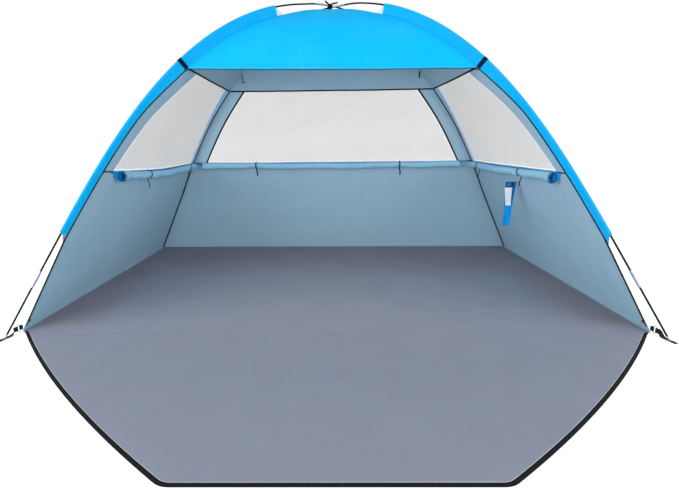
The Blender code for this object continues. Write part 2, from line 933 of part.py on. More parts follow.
def fold_line(bar, out, across, reach, back_reach):
    """Plan line of webbing that comes along out, folds round an upright bar and runs back.

    The line starts at reach from the bar on the side that out points to, folds on the far side
    of the bar and ends at back_reach.
    """
    bend = ring_wire_radius + seat_gap + webbing_thickness / 2
    line = [bar + out * reach + across * bend]
    steps = 6
    for k in range(steps + 1):
        angle = math.pi / 2 + math.pi * k / steps
        line.append(bar + (out * math.cos(angle) + across * math.sin(angle)) * bend)
    line.append(bar + out * back_reach - across * bend)
    return line


def line_directions(line):
    """Horizontal direction of travel at each point of a plan line."""
    result = []
    for k, point in enumerate(line):
        before = line[max(k - 1, 0)]
        after = line[min(k + 1, len(line) - 1)]
        result.append((after - before).normalized())
    return result


def build_corner_loop(corner, foot, name, material):
    """Webbing loop sewn to the floor corner, holding the ring's near bar."""
    out, across, _ = corner_frame(corner, foot)
    bar = corner + out * (ring_centre_reach() - ring_depth / 2 + ring_wire_radius)
    bar.z = ground_clear + ring_height / 2 + ring_wire_radius
    reach = corner_loop_length + ring_wire_radius - seat_gap
    line = fold_line(bar, -out, across, reach - edge_trim(), reach - edge_trim())
    up = Vector((0, 0, 1))
    stations = []
    for point, travel in zip(line, line_directions(line)):
        stations.append((point, up, travel.cross(up).normalized()))
    return finish_mesh(loft(band_rings(stations, webbing_width, webbing_thickness)), name, material)


def build_foot_strap(corner, foot, name, material):
    """Webbing strap from the ring to the pole's foot, on edge at the ring and flat at the foot."""
    out, across, reach = corner_frame(corner, foot)
    bar = corner + out * (ring_centre_reach() + ring_depth / 2 - ring_wire_radius)
    bar.z = ground_clear + ring_height / 2 + ring_wire_radius
    to_foot = reach - (bar - corner).dot(out)
    line = fold_line(bar, out, across, to_foot + strap_tail, webbing_fold_back)
    flat_height = ground_clear + webbing_thickness / 2
    edge_height = bar.z
    up = Vector((0, 0, 1))
    bend = ring_wire_radius + seat_gap + webbing_thickness / 2
    stations = [(Vector((line[0].x, line[0].y, flat_height)) - across * bend, across, up)]
    steps = 6
    flat_from = eyelet_radius * 2
    for k in range(steps + 1):
        share = k / steps
        ahead = to_foot - flat_from - (to_foot - flat_from - webbing_fold_back / 2) * share
        turn = math.pi / 2 * share * share * (3 - 2 * share)
        wide = across * math.cos(turn) + up * math.sin(turn)
        thick = up * math.cos(turn) - across * math.sin(turn)
        height = flat_height + (edge_height - flat_height) * math.sin(turn)
        base = bar + out * ahead + across * (bend * share)
        stations.append((Vector((base.x, base.y, height)), wide, thick))
    for point, travel in zip(line[1:], line_directions(line)[1:]):
        stations.append((point, up, travel.cross(up).normalized()))
    rings = align_rings(band_rings(stations, webbing_width, webbing_thickness))
    strap = finish_mesh(loft(rings), name, material)
    eyelet = bmesh.new()
    bmesh.ops.create_cone(
        eyelet,
        cap_ends=True,
        segments=12,
        radius1=eyelet_radius,
        radius2=eyelet_radius,
        depth=webbing_thickness + 2 * cut_overrun,
    )
    cutter = finish_mesh(eyelet, f"{name}_eyelet_shape", material)
    cutter.location = (foot.x, foot.y, flat_height)
    apply_shape(strap, cutter, "DIFFERENCE")
    return strap


# Rolled window covers


def roll_section(centre, down, wall, tail):
    """Closed outline of a cloth rolled into a spiral that comes down from tail along the wall."""
    per_turn = 10
    count = round(roll_turns * per_turn)
    pitch = (roll_radius - roll_core_radius) / roll_turns
    outer, inner = [], []
    for k in range(count + 1):
        turn = k / per_turn + roll_turns - count / per_turn
        radius = roll_core_radius + pitch * turn
        spoke = down * math.cos(2 * math.pi * turn) + wall * math.sin(2 * math.pi * turn)
        outer.append(centre + spoke * radius)
        inner.append(centre + spoke * (radius - roll_cloth))
    outer[-1] = centre + wall * roll_radius
    inner[-1] = centre + wall * (roll_radius - roll_cloth)
    return [*outer, outer[-1] - down * tail, inner[-1] - down * tail, *inner[::-1]]


def build_roll(panel, name, last_overhang, material):
    """Window cover sewn to the window's sill on the inside, rolled up and tied below it.

    Last overhang is how far the roll passes the window's last edge, less than nothing where it
    stops short of a corner of the tent.
    """
    first, last = panel.edges(panel.low)
    row = tuple(s - roll_below_sill for s in panel.low)
    middle = Vector((0, floor_depth / 2, 0))
    rings = []
    for k in range(column_count + 1):
        share = first + (last - first) * k / column_count
        point = panel.point(row, share)
        up = (panel.point(panel.low, share) - point).normalized()
        along = (panel.point(row, last) - panel.point(row, first)).normalized()
        wall = along.cross(up).normalized()
        if (middle - point).dot(wall) > 0:
            wall = -wall
        down = -(up - along * up.dot(along)).normalized()
        overhang = blend(-roll_overhang, last_overhang, k / column_count)
        sag = roll_sag * math.sin(math.pi * k / column_count)
        centre = point - wall * (roll_radius + edge_trim() + seat_gap) + along * overhang + down * sag
        tail = roll_below_sill + sag - edge_trim()
        rings.append(roll_section(centre, down, wall, tail))
    return finish_mesh(loft(rings), name, material, math.radians(60))


# Crossing tie, hanging strip and lamp hooks


def sweep(line, radius, sides):
    """Mesh of a round cord along a line of points."""
    rings = []
    normal = Vector((0, 0, 1))
    for k, point in enumerate(line):
        before = line[max(k - 1, 0)]
        after = line[min(k + 1, len(line) - 1)]
        along = (after - before).normalized()
        normal = (normal - along * normal.dot(along)).normalized()
        rings.append(ring_points(point, normal, along.cross(normal), radius, sides))
    return loft(rings)


def tie_loop(centre, side, high):
    """One loop of the bow, out from the top of the winding and back towards it."""
    loop = []
    count = 10
    for k in range(1, count):
        angle = 2 * math.pi * k / count
        out = bow_length * (1 - math.cos(angle)) / 2
        swing = bow_width / 2 * math.sin(angle)
        rise = bow_rise * k / count
        loop.append(centre + Vector((side * (tie_pitch * tie_turns / 2 + out), side * swing, high + rise)))
    return loop


def build_crossing_tie(path, material):
    """Cord wound round the two poles where they cross, ending in a bow."""
    centre = path.frame(path.crossing)[0] - Vector((0, 0, path.lift))
    slope = abs(path.level.y / path.level.x)
    clear = seat_gap + tie_radius + tie_slack
    high = path.lift + pole_radius + clear
    wide = pole_radius / abs(path.level.x) + tie_pitch * tie_turns / 2 * slope + clear
    coil = []
    per_turn = 12
    for k in range(tie_turns * per_turn + 1):
        angle = 2 * math.pi * k / per_turn
        across = math.copysign(abs(math.sin(angle)) ** tie_squareness_share, math.sin(angle))
        rise = math.copysign(abs(math.cos(angle)) ** tie_squareness_share, math.cos(angle))
        run = tie_pitch * (k / per_turn - tie_turns / 2)
        coil.append(centre + Vector((run, wide * across, high * rise)))
    line = tie_loop(centre, -1, high)[::-1] + coil + tie_loop(centre, 1, high)
    return finish_mesh(sweep(line, tie_radius, 6), "crossing_tie", material, math.radians(70))


def strip_pivot(panel):
    """Point just off the right wall's inside, below the window, where the strip's top corner hangs."""
    low = tuple(s - strip_drop_below_sill for s in panel.low)
    point = panel.point(low, strip_along_wall_share)
    up = panel.point(panel.low, strip_along_wall_share) - point
    normal = up.cross(panel.point(low, 1) - panel.point(low, 0)).normalized()
    if normal.x > 0:
        normal = -normal
    return point + normal * (sheet_thickness / 2 + strip_slack)


def strip_ring(pivot, drop, outer_share, inner_share):
    """Ring across the strip at a drop below its pivot, from its outer to its inner edge."""
    ring = []
    for share, thick in ((outer_share, 1), (inner_share, 1), (inner_share, -1), (outer_share, -1)):
        ring.append(pivot + Vector((-strip_width * share, thick * strip_thickness / 2, -drop)))
    return ring


def clip_mesh(pivot):
    """Block of the clip on the strip's front, at the inner end of its top."""
    rings = []
    for drop in (clip_drop, clip_drop + clip_height):
        base = pivot + Vector((-strip_width, 0, -drop))
        width = Vector((clip_width, 0, 0))
        depth = Vector((0, -strip_thickness / 2 - clip_thickness, 0))
        rings.append([base, base + width, base + width + depth, base + depth])
    return loft(rings)


def build_hanging_strip(panel, material):
    """Cloth strip with its clip, hanging from the right wall below the window."""
    pivot = strip_pivot(panel)
    rings = [
        strip_ring(pivot, 0, 0, 1),
        strip_ring(pivot, strip_length * strip_taper_share, 0, 1),
        strip_ring(pivot, strip_length, strip_end_outer_share, strip_end_inner_share),
    ]
    item = finish_mesh(loft(rings), "hanging_strip", material)
    set_origin(item, pivot)
    apply_shape(item, finish_mesh(clip_mesh(pivot), "strip_clip_shape", material), "UNION")
    return item


def lamp_pivot(seam, half_thickness):
    """Point inside a back seam where a lamp hook or strap hangs, and the direction into the tent."""
    point = seam.point(hook_reach)
    into = Vector((-1 if seam.corner.x > 0 else 1, -1, 0)).normalized()
    clear = seat_gap + lamp_slack + sheet_thickness / 2 + half_thickness
    return point + into * math.hypot(clear, clear), into


def build_lamp_hook(seam, material):
    """Wire hook for a lamp, hanging from the left back seam."""
    pivot, _ = lamp_pivot(seam, hook_wire_radius)
    line = [pivot + Vector((0, 0, -hook_length * k / 2)) for k in range(3)]
    centre = line[-1] + Vector((hook_bend_radius, 0, 0))
    steps = 6
    for k in range(1, steps + 1):
        angle = math.pi + math.pi * k / steps
        line.append(centre + Vector((math.cos(angle), 0, math.sin(angle))) * hook_bend_radius)
    rings = []
    for point, travel in zip(line, line_directions(line)):
        second = Vector((0, 1, 0))
        rings.append(ring_points(point, travel.cross(second).normalized(), second, hook_wire_radius, 6))
    item = finish_mesh(loft(rings), "lamp_hook", material, math.radians(70))
    set_origin(item, pivot)
    return item


def build_lamp_strap(seam, material):
    """Short webbing strap for a lamp, hanging from the right back seam."""
    pivot, into = lamp_pivot(seam, webbing_thickness / 2)
    middle = pivot + into * lamp_strap_width / 2
    thick = Vector((into.y, -into.x, 0))
    low = middle - Vector((0, 0, lamp_strap_length))
    rings = band_rings([(middle, into, thick), (low, into, thick)], lamp_strap_width, webbing_thickness)
    item = finish_mesh(loft(rings), "lamp_strap", material)
    set_origin(item, pivot)
    return item


def build_poles(fibre, elastic, steel):
    """Both bent poles with their cords and tips."""
    lift = (pole_radius + ferrule_radius() + seat_gap) / 2
    paths = {}
    for name, side, sign in (("pole_left", -1, 1), ("pole_right", 1, -1)):
        path = PolePath(side, sign * lift)
        build_sections(path, name, fibre)
        build_shock_cord(path, f"{name}_shock_cord", elastic)
        build_tip(path, f"{name}_front_tip", steel, False)
        build_tip(path, f"{name}_back_tip", steel, True)
        paths[side] = path
    return paths


def build_canopy(paths, blue, grey, net, roll_cloth_material):
    """Panels, nets, rolled covers and sleeves."""
    front_left, front_right = Seam(-1, True), Seam(1, True)
    back_left, back_right = Seam(-1, False), Seam(1, False)
    build_roof_front(Panel(front_left, front_right), "roof_front_panel", blue)
    low, high = (sill_front_reach, sill_back_reach), (eave_front_reach, eave_back_reach)
    back_low, back_high = (sill_back_reach, sill_back_reach), (eave_back_reach, eave_back_reach)
    left_edges = side_window_edges(row_length(front_left, back_left))
    right_edges = side_window_edges(row_length(front_right, back_right))
    back_edges = back_window_edges(row_length(back_left, back_right))
    walls = {
        "left": Panel(front_left, back_left, low, high, left_edges),
        "right": Panel(front_right, back_right, low, high, right_edges),
        "back": Panel(back_left, back_right, back_low, back_high, back_edges),
    }
    for name, panel in walls.items():
        build_windowed_panel(panel, f"{name}_wall_panel", grey, net, f"{name}_window_net")
        last_overhang = roll_overhang if name == "back" else -roll_corner_clear
        build_roll(panel, f"{name}_window_roll", last_overhang, roll_cloth_material)
    build_sleeve(paths[-1], front_left, "front_left_sleeve", False, blue)
    build_sleeve(paths[1], front_right, "front_right_sleeve", False, blue)
    build_sleeve(paths[1], back_left, "back_left_sleeve", True, blue)
    build_sleeve(paths[-1], back_right, "back_right_sleeve", True, blue)
    return walls, {"fl": front_left, "fr": front_right, "bl": back_left, "br": back_right}


def build_corners(paths, webbing, steel):
    """Ring, loop and strap at each floor corner."""
    front, back = sill_width / 2, back_width / 2
    corners = (
        ("front_left", Vector((-front, 0, 0)), paths[-1], 0.0),
        ("front_right", Vector((front, 0, 0)), paths[1], 0.0),
        ("back_left", Vector((-back, floor_depth, 0)), paths[1], 1.0),
        ("back_right", Vector((back, floor_depth, 0)), paths[-1], 1.0),
    )
    for name, corner, path, end in corners:
        foot = path.true_point(path.length * end)
        build_ring(corner, foot, f"{name}_ring", steel)
        build_corner_loop(corner, foot, f"{name}_corner_loop", webbing)
        build_foot_strap(corner, foot, f"{name}_foot_strap", webbing)


def main():
    """Build the whole tent."""
    clear_scene()
    fibre = make_material("black_fibreglass", (0.010, 0.010, 0.012), 0.35)
    elastic = make_material("black_elastic", (0.015, 0.015, 0.017), 0.80)
    steel = make_material("bright_steel", (0.62, 0.63, 0.65), 0.28, 1.0)
    blue = make_material("blue_cloth", (0.010, 0.420, 0.880), 0.60)
    grey = make_material("silvered_cloth", (0.220, 0.360, 0.460), 0.65)
    net = make_material("pale_net", (0.640, 0.640, 0.640), 0.80)
    cover = make_material("cover_cloth", (0.300, 0.450, 0.560), 0.65)
    floor = make_material("grey_floor", (0.230, 0.270, 0.350), 0.70)
    tape = make_material("zip_tape", (0.022, 0.022, 0.026), 0.65)
    webbing = make_material("black_webbing", (0.018, 0.018, 0.020), 0.75)

    paths = build_poles(fibre, elastic, steel)
    walls, seams = build_canopy(paths, blue, grey, net, cover)
    build_floor(floor)
    build_door(floor)
    build_door_zip(tape)
    build_frame_zip(seams["fl"], seams["fr"], tape)
    for name, seam in (("left", seams["fl"]), ("right", seams["fr"])):
        build_slider(seam, f"{name}_zip_slider", tape)
        build_tab(seam, f"{name}_zip_tab", tape)
    build_corners(paths, webbing, steel)
    build_crossing_tie(paths[-1], webbing)
    build_hanging_strip(walls["right"], blue)
    build_lamp_hook(seams["bl"], webbing)
    build_lamp_strap(seams["br"], webbing)


main()
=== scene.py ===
"""Looks of a beach tent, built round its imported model.

Metres, +Z up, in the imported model's own frame: the origin is on the ground under the middle of the
door sill, +X runs right along the sill and +Y runs into the tent. The sizes repeat the part's own.
"""

import logging
import math
from dataclasses import dataclass
from enum import Enum
from typing import Callable, Optional, Sequence

import bpy
import numpy as np
from bpy.types import Material, Node, NodeSocket, NodeTree, Object
from mathutils import Matrix, Vector


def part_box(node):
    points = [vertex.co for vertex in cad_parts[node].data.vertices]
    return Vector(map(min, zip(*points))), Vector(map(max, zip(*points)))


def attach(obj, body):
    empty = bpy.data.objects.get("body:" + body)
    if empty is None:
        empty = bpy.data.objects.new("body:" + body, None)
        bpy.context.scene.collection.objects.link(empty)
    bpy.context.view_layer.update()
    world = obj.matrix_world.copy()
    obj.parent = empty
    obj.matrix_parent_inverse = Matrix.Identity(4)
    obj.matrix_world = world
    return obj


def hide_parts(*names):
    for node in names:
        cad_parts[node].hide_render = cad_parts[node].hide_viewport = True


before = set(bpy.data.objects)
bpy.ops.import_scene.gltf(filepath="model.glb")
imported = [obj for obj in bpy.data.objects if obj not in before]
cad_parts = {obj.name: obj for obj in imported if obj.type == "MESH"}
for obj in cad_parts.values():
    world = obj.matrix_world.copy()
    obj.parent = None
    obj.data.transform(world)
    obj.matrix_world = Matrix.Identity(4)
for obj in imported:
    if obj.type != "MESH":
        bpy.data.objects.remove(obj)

log = logging.getLogger("beach_tent")
Array = np.ndarray
Colour = tuple[float, float, float]
Pair = tuple[float, float]
Edges = Callable[[Array, Array], tuple[Array, Array]]


class Side(Enum):
    """Which side of the tent, as seen from the front."""

    LEFT = -1
    RIGHT = 1


class Ray(Enum):
    """Kinds of ray that see the plain white surroundings."""

    CAMERA = "Is Camera Ray"
    GLOSSY = "Is Glossy Ray"
    TRANSMISSION = "Is Transmission Ray"


@dataclass(frozen=True)
class TentSizes:
    """Sizes of the part's source in metres, with the small unevenness of the photographed tent."""

    sill_width: float = 2.410
    back_width: float = 2.240
    floor_depth: float = 1.320
    floor_thickness: float = 0.0015
    sill_lap: float = 0.006
    gap: float = 0.0003
    front_foot_out: float = 0.022
    front_foot_ahead: float = 0.075
    back_foot_out: float = 0.030
    back_foot_behind: float = 0.055
    foot_angle: float = math.radians(58.3)
    bend_power: float = 2.25
    bend_step: float = 0.001
    pole_radius: float = 0.0035
    pole_bore: float = 0.0020
    ferrule_radius: float = 0.0047
    ferrule_reach: float = 0.035
    tube_start: float = 0.0183
    end_section: float = 0.250
    middle_sections: int = 6
    crossing_flat: float = 0.050
    crossing_ramp: float = 0.095
    cloth: float = 0.0010
    front_drop: float = 0.036
    back_drop: float = 0.020
    crossing_drop: float = 0.0165
    sleeve_low: float = 0.430
    left_sleeve_low: float = 0.450
    sleeve_high: float = 1.760
    panel_dip: float = 0.010
    crown_clear: float = 0.012
    sill_left: float = 0.732
    sill_right: float = 0.708
    sill_back: float = 0.675
    eave_left: float = 1.268
    eave_right: float = 1.248
    eave_back: float = 1.190
    back_margin: float = 0.085
    left_lead: Pair = (0.080, 0.122)
    right_lead: Pair = (0.070, 0.112)
    front_waist: float = 0.017
    back_waist: float = 0.009
    waist_rise: float = 0.24
    waist_fall: float = 0.30
    side_margin: float = 0.014


SIZES = TentSizes()
MIDDLE = np.array((0.0, SIZES.floor_depth / 2, 0.3))
UP = np.array((0.0, 0.0, 1.0))
AHEAD = np.array((0.0, -1.0, 0.0))


def tone(red: float, green: float, blue: float) -> Colour:
    """Linear colour from red, green and blue screen values of 0 to 255."""
    shares = [value / 255 for value in (red, green, blue)]
    return tuple(c / 12.92 if c <= 0.04045 else ((c + 0.055) / 1.055) ** 2.4 for c in shares)


def unit(vectors: Array) -> Array:
    """Vectors of length one in the same directions."""
    return vectors / np.maximum(np.linalg.norm(vectors, axis=-1, keepdims=True), 1e-12)


def blend(low: Array, high: Array, share: Array) -> Array:
    """Values between low and high."""
    return low + (high - low) * share


def ease(share: Array) -> Array:
    """Zero to one with a soft start and end."""
    t = np.clip(share, 0.0, 1.0)
    return t * t * (3 - 2 * t)


# Lines of the tent


def unit_bend() -> tuple[Array, Array, Array]:
    """Half of a pole whose curvature grows with height.

    Returns:
        Arc lengths, runs and rises from the foot to the top, in free units.
    """
    step, angle, run, rise = SIZES.bend_step, SIZES.foot_angle, 0.0, 0.0
    arc, runs, rises = [0.0], [0.0], [0.0]
    while angle > 0.0:
        middle = angle - rise**SIZES.bend_power * step / 2
        run += math.cos(middle) * step
        rise += math.sin(middle) * step
        angle -= rise**SIZES.bend_power * step
        arc.append(arc[-1] + step)
        runs.append(run)
        rises.append(rise)
    return np.array(arc), np.array(runs), np.array(rises)


BEND = unit_bend()


class PoleArc:
    """Centre line of one bent pole from its front foot to its back foot."""

    def __init__(self, side: int, lift: float = 0.0) -> None:
        """Places the pole.

        Args:
            side: -1 for the pole from the front left foot, 1 for the other.
            lift: How far it rises over the other pole where they cross.
        """
        out = side * (SIZES.sill_width / 2 + SIZES.front_foot_out)
        front = np.array((out, -SIZES.front_foot_ahead, 0.0))
        across = -side * (SIZES.back_width / 2 + SIZES.back_foot_out)
        back = np.array((across, SIZES.floor_depth + SIZES.back_foot_behind, 0.0))
        span = float(np.linalg.norm(back - front))
        arc, runs, rises = BEND
        scale = span / 2 / runs[-1]
        self.front, self.level, self.lift = front, (back - front) / span, lift
        self.across = np.array((-self.level[1], self.level[0], 0.0))
        self.length = 2 * arc[-1] * scale
        self.arc = np.concatenate([arc, 2 * arc[-1] - arc[-2::-1]]) * scale
        self.runs = np.concatenate([runs, 2 * runs[-1] - runs[-2::-1]]) * scale
        self.rises = np.concatenate([rises, rises[-2::-1]]) * scale
        cross_run = span * abs(front[0]) / (abs(front[0]) + abs(back[0]))
        self.crossing = float(np.interp(cross_run, self.runs, self.arc))

    def point(self, s: Array) -> Array:
        """Points on the pole's line.

        Args:
            s: Arc lengths from the front foot.

        Returns:
            Points.
        """
        s = np.asarray(s, float)
        away = np.maximum(0.0, np.abs(s - self.crossing) - SIZES.crossing_flat)
        hump = 0.5 + 0.5 * np.cos(math.pi * away / SIZES.crossing_ramp)
        lift = np.where(away < SIZES.crossing_ramp, hump, 0.0)
        rise = np.interp(s, self.arc, self.rises) + self.lift * lift
        run = np.interp(s, self.arc, self.runs)
        return self.front + self.level * run[..., None] + UP * rise[..., None]

    def frame(self, s: Array) -> tuple[Array, Array]:
        """Frames along the pole.

        Args:
            s: Arc lengths from the front foot.

        Returns:
            Points, and directions towards the inside of the pole's bend.
        """
        s, reach = np.asarray(s, float), 0.006
        along = unit(self.point(s + reach) - self.point(s - reach))
        inward = unit(np.cross(along, self.across))
        return self.point(s), np.where(inward[..., 2:] > 0, -inward, inward)


class SeamLine:
    """Seam from a floor corner up to the crossing, straight at first and then just under its pole."""

    def __init__(self, side: int, is_front: bool) -> None:
        """Places the seam.

        Args:
            side: -1 for the left leg, 1 for the right one.
            is_front: Whether it is a front leg.
        """
        self.side, self.is_front = side, is_front
        self.path = PoleArc(side if is_front else -side)
        self.drop = SIZES.front_drop if is_front else SIZES.back_drop
        self.top = self.path.crossing if is_front else self.path.length - self.path.crossing
        width, depth = (SIZES.sill_width, 0.0) if is_front else (SIZES.back_width, SIZES.floor_depth)
        self.corner = np.array((side * width / 2, depth, SIZES.floor_thickness + SIZES.cloth))

    def fall(self, s: Array) -> Array:
        """How far the seam runs below the pole.

        Args:
            s: Arc lengths from this leg's foot.

        Returns:
            Distances.
        """
        share = (s - SIZES.sleeve_high) / (self.top - SIZES.sleeve_high)
        end, depth, start = SIZES.eave_right, SIZES.front_waist, 1.0
        if not self.is_front:
            end, depth = SIZES.eave_back, SIZES.back_waist
            start = ease((s - SIZES.sleeve_low) / SIZES.waist_rise)
        waist = start * ease((end - s) / SIZES.waist_fall) * depth
        return self.drop - waist + (SIZES.crossing_drop - self.drop) * ease(share)

    def on_pole(self, s: Array) -> Array:
        """Seam points below the pole."""
        point, inward = self.path.frame(s if self.is_front else self.path.length - s)
        return point + inward * self.fall(s)[..., None]

    def point(self, s: Array) -> Array:
        """Points on the seam.

        Args:
            s: Arc lengths from this leg's foot.

        Returns:
            Points.
        """
        s, low = np.asarray(s, float), SIZES.sleeve_low
        joint = self.on_pole(np.array(low))
        straight = self.corner + (joint - self.corner) * (s / low)[..., None]
        return np.where((s < low)[..., None], straight, self.on_pole(np.maximum(s, low)))


@dataclass
class Gore:
    """One sewn sheet of the canopy between two seams, with its soft dip, ripples and window.

    Rows join the arc lengths of each knot on both seams. The edges give the window's start and end as
    shares of a row, from the row's arc length and length. The sag is a row that hangs, and how far.
    """

    left: SeamLine
    right: SeamLine
    knots: Sequence[Pair]
    edges: Optional[Edges]
    seed: int
    sag: Pair = (0.0, 0.0)
    sag_spread: float = 0.16
    rim: float = 0.10
    ripples: int = 9
    ripple_height: float = 0.0016
    reach: float = 0.004

    def __post_init__(self) -> None:
        """Draws the ripples."""
        self.table = np.array(self.knots)
        self.waves = np.random.default_rng(self.seed).uniform(-1.0, 1.0, (self.ripples, 4))

    def partner(self, a: Array) -> Array:
        """Arc lengths on the right seam for those on the left one."""
        return np.interp(a, self.table[:, 0], self.table[:, 1])

    def row_length(self, a: Array) -> Array:
        """Straight length of the rows that start at a."""
        return np.linalg.norm(self.right.point(self.partner(a)) - self.left.point(a), axis=-1)

    def spans(self, a: Array) -> tuple[Array, Array]:
        """Shares of the rows at which the window begins and ends."""
        return self.edges(self.partner(a), self.row_length(a))

    def surface(self, a: Array, share: Array) -> Array:
        """Points on the middle of the cloth.

        Args:
            a: Arc lengths on the left seam.
            share: Places across the rows, from 0 to 1.

        Returns:
            One point for each pair of values.
        """
        a, share = np.broadcast_arrays(np.asarray(a, float), np.asarray(share, float))
        arch = np.sin(math.pi * np.clip(share, 0.0, 1.0))
        a = a - self.sag[1] * arch * np.exp(-(((a - self.sag[0]) / self.sag_spread) ** 2))
        start, end = self.left.point(a), self.right.point(self.partner(a))
        row = end - start
        length = np.linalg.norm(row, axis=-1)
        normal = unit(np.cross(row, self.left.point(a + SIZES.gap) - start))
        inward = np.where(((MIDDLE - start - row / 2) * normal).sum(-1) > 0, 1.0, -1.0)
        full = float(self.row_length(np.array(SIZES.sleeve_low)))
        rise = np.sin(math.pi * np.minimum(1.0, a / self.left.top))
        dip = SIZES.panel_dip * np.minimum(1.0, length / full) * rise * arch
        dip = dip + self.ripple(share * length, a) * ease(np.minimum(share, 1 - share) * length / self.rim)
        return start + row * share[..., None] + normal * (inward * dip)[..., None]

    def ripple(self, u: Array, v: Array) -> Array:
        """Small soft unevenness of the stretched cloth.

        Args:
            u: Places across.
            v: Places up.

        Returns:
            Heights.
        """
        total = np.zeros_like(u)
        for k, (x, y, phase, weight) in enumerate(self.waves):
            turn = (4.0 + 3.2 * k) * (x * u + y * v) * 2 + phase * math.pi
            total = total + weight * np.sin(turn) / (1 + 0.45 * k)
        return total * self.ripple_height

    def normal(self, a: Array, share: Array) -> Array:
        """Directions square to the cloth, towards the inside.

        Args:
            a: Row places.
            share: Places across the rows.

        Returns:
            Directions of length one.
        """
        a, share = np.broadcast_arrays(np.asarray(a, float), np.asarray(share, float))
        across = self.surface(a, share + self.reach) - self.surface(a, share - self.reach)
        up = self.surface(a + self.reach, share) - self.surface(np.maximum(a - self.reach, 0.0), share)
        square = unit(np.cross(across, up))
        facing = ((MIDDLE - self.surface(a, share)) * square).sum(-1)
        return np.where((facing > 0)[..., None], square, -square)

    def place(self, a: Array, share: Array, lift: float = 0.0) -> Array:
        """Points lifted from the middle of the cloth towards the inside."""
        return self.surface(a, share) + self.normal(a, share) * lift


def side_edges(leads: Pair) -> Edges:
    """Edges of a side window.

    Args:
        leads: Width of the cloth ahead of it at its sill and at its eave.

    Returns:
        Gives both edges as shares of a row, from its arc length on the back seam and its length.
    """

    def edges(b: Array, length: Array) -> tuple[Array, Array]:
        """Edges of the open part of the rows.

        Args:
            b: Row places.
            length: Lengths of the rows.

        Returns:
            Shares where it begins and ends.
        """
        climb = np.clip((b - SIZES.sill_back) / (SIZES.eave_back - SIZES.sill_back), -0.4, 1.4)
        first = np.minimum(0.45, blend(*leads, climb) / length)
        return first, np.maximum(0.55, 1 - SIZES.side_margin / length)

    return edges


def back_edges(b: Array, length: Array) -> tuple[Array, Array]:
    """Edges of the back window as shares of a row, from its arc length and its length."""
    share = np.minimum(0.45, SIZES.back_margin / length) + 0.0 * b
    return share, 1 - share


# Meshes


def add_mesh(
    name: str,
    verts: Array,
    faces: Sequence,
    materials: Sequence[Material],
    corners: Optional[Array] = None,
    slots: Optional[Sequence[int]] = None,
    sharp: float = 40.0,
) -> Object:
    """Puts a mesh into the scene.

    Args:
        name: Name of the piece.
        verts: Points, three values each.
        faces: Rows of point numbers.
        materials: Materials in slot order.
        corners: One pair of surface coordinates, in metres, for each face corner.
        slots: Material slot of each face.
        sharp: Angle in degrees above which an edge stays sharp.

    Returns:
        The new object.
    """
    data = bpy.data.meshes.new(name)
    data.from_pydata(np.asarray(verts).tolist(), [], [list(map(int, face)) for face in faces])
    for material in materials:
        data.materials.append(material)
    if slots is not None:
        data.polygons.foreach_set("material_index", np.asarray(slots, np.int32))
    if corners is not None:
        layer = data.uv_layers.new(name="cloth")
        layer.data.foreach_set("uv", np.asarray(corners, np.float32).ravel())
    data.shade_smooth()
    data.set_sharp_from_angle(angle=math.radians(sharp))
    return link(name, data)


def link(name: str, data: bpy.types.ID) -> Object:
    """Puts an object into the scene.

    Args:
        name: Name of the object.
        data: What it shows.

    Returns:
        The new object.
    """
    item = bpy.data.objects.new(name, data)
    bpy.context.scene.collection.objects.link(item)
    return item


def shell(
    name: str,
    points: Array,
    normals: Array,
    thickness: float,
    surface: Array,
    materials: Sequence[Material],
    keep: Optional[Array] = None,
    sharp: float = 40.0,
) -> Object:
    """Thin closed sheet with its own face, back and rim.

    Args:
        name: Name of the piece.
        points: Grid of points on the sheet's middle.
        normals: Directions towards its face, one for each point or one for all.
        thickness: How thick it is.
        surface: Grid of surface coordinates in metres.
        materials: Face, back and rim.
        keep: Which cells are cloth, where some are open.
        sharp: Angle in degrees above which an edge stays sharp.

    Returns:
        The new object.
    """
    rows, cols = points.shape[:2]
    count, normals = rows * cols, np.broadcast_to(normals, points.shape)
    index = np.arange(count).reshape(rows, cols)
    kept = np.ones((rows - 1, cols - 1), bool) if keep is None else keep
    cells = np.stack([index[:-1, :-1], index[:-1, 1:], index[1:, 1:], index[1:, :-1]], -1)[kept]
    i, j = rows // 3, cols // 3
    turn = np.cross(points[i, j + 1] - points[i, j], points[i + 1, j] - points[i, j])
    if turn @ normals[i, j] < 0:
        cells = cells[:, ::-1]
    edges = np.concatenate([cells[:, [k, (k + 1) % 4]] for k in range(4)])
    code = np.sort(edges, axis=1) @ np.array((count, 1))
    _, first, times = np.unique(code, return_index=True, return_counts=True)
    rim = edges[first[times == 1]]
    rims = np.stack([rim[:, 1], rim[:, 0], rim[:, 0] + count, rim[:, 1] + count], -1)
    faces = np.concatenate([cells, cells[:, ::-1] + count, rims])
    flat, half = points.reshape(-1, 3), normals.reshape(-1, 3) * thickness / 2
    verts = np.concatenate([flat + half, flat - half])
    used, packed = np.unique(faces, return_inverse=True)
    packed = packed.reshape(faces.shape)
    uv = np.concatenate([surface.reshape(-1, 2)] * 2)[used]
    slots = [0] * len(cells) + [1] * len(cells) + [min(2, len(materials) - 1)] * len(rims)
    return add_mesh(name, verts[used], packed, materials, uv[packed.ravel()], slots, sharp)


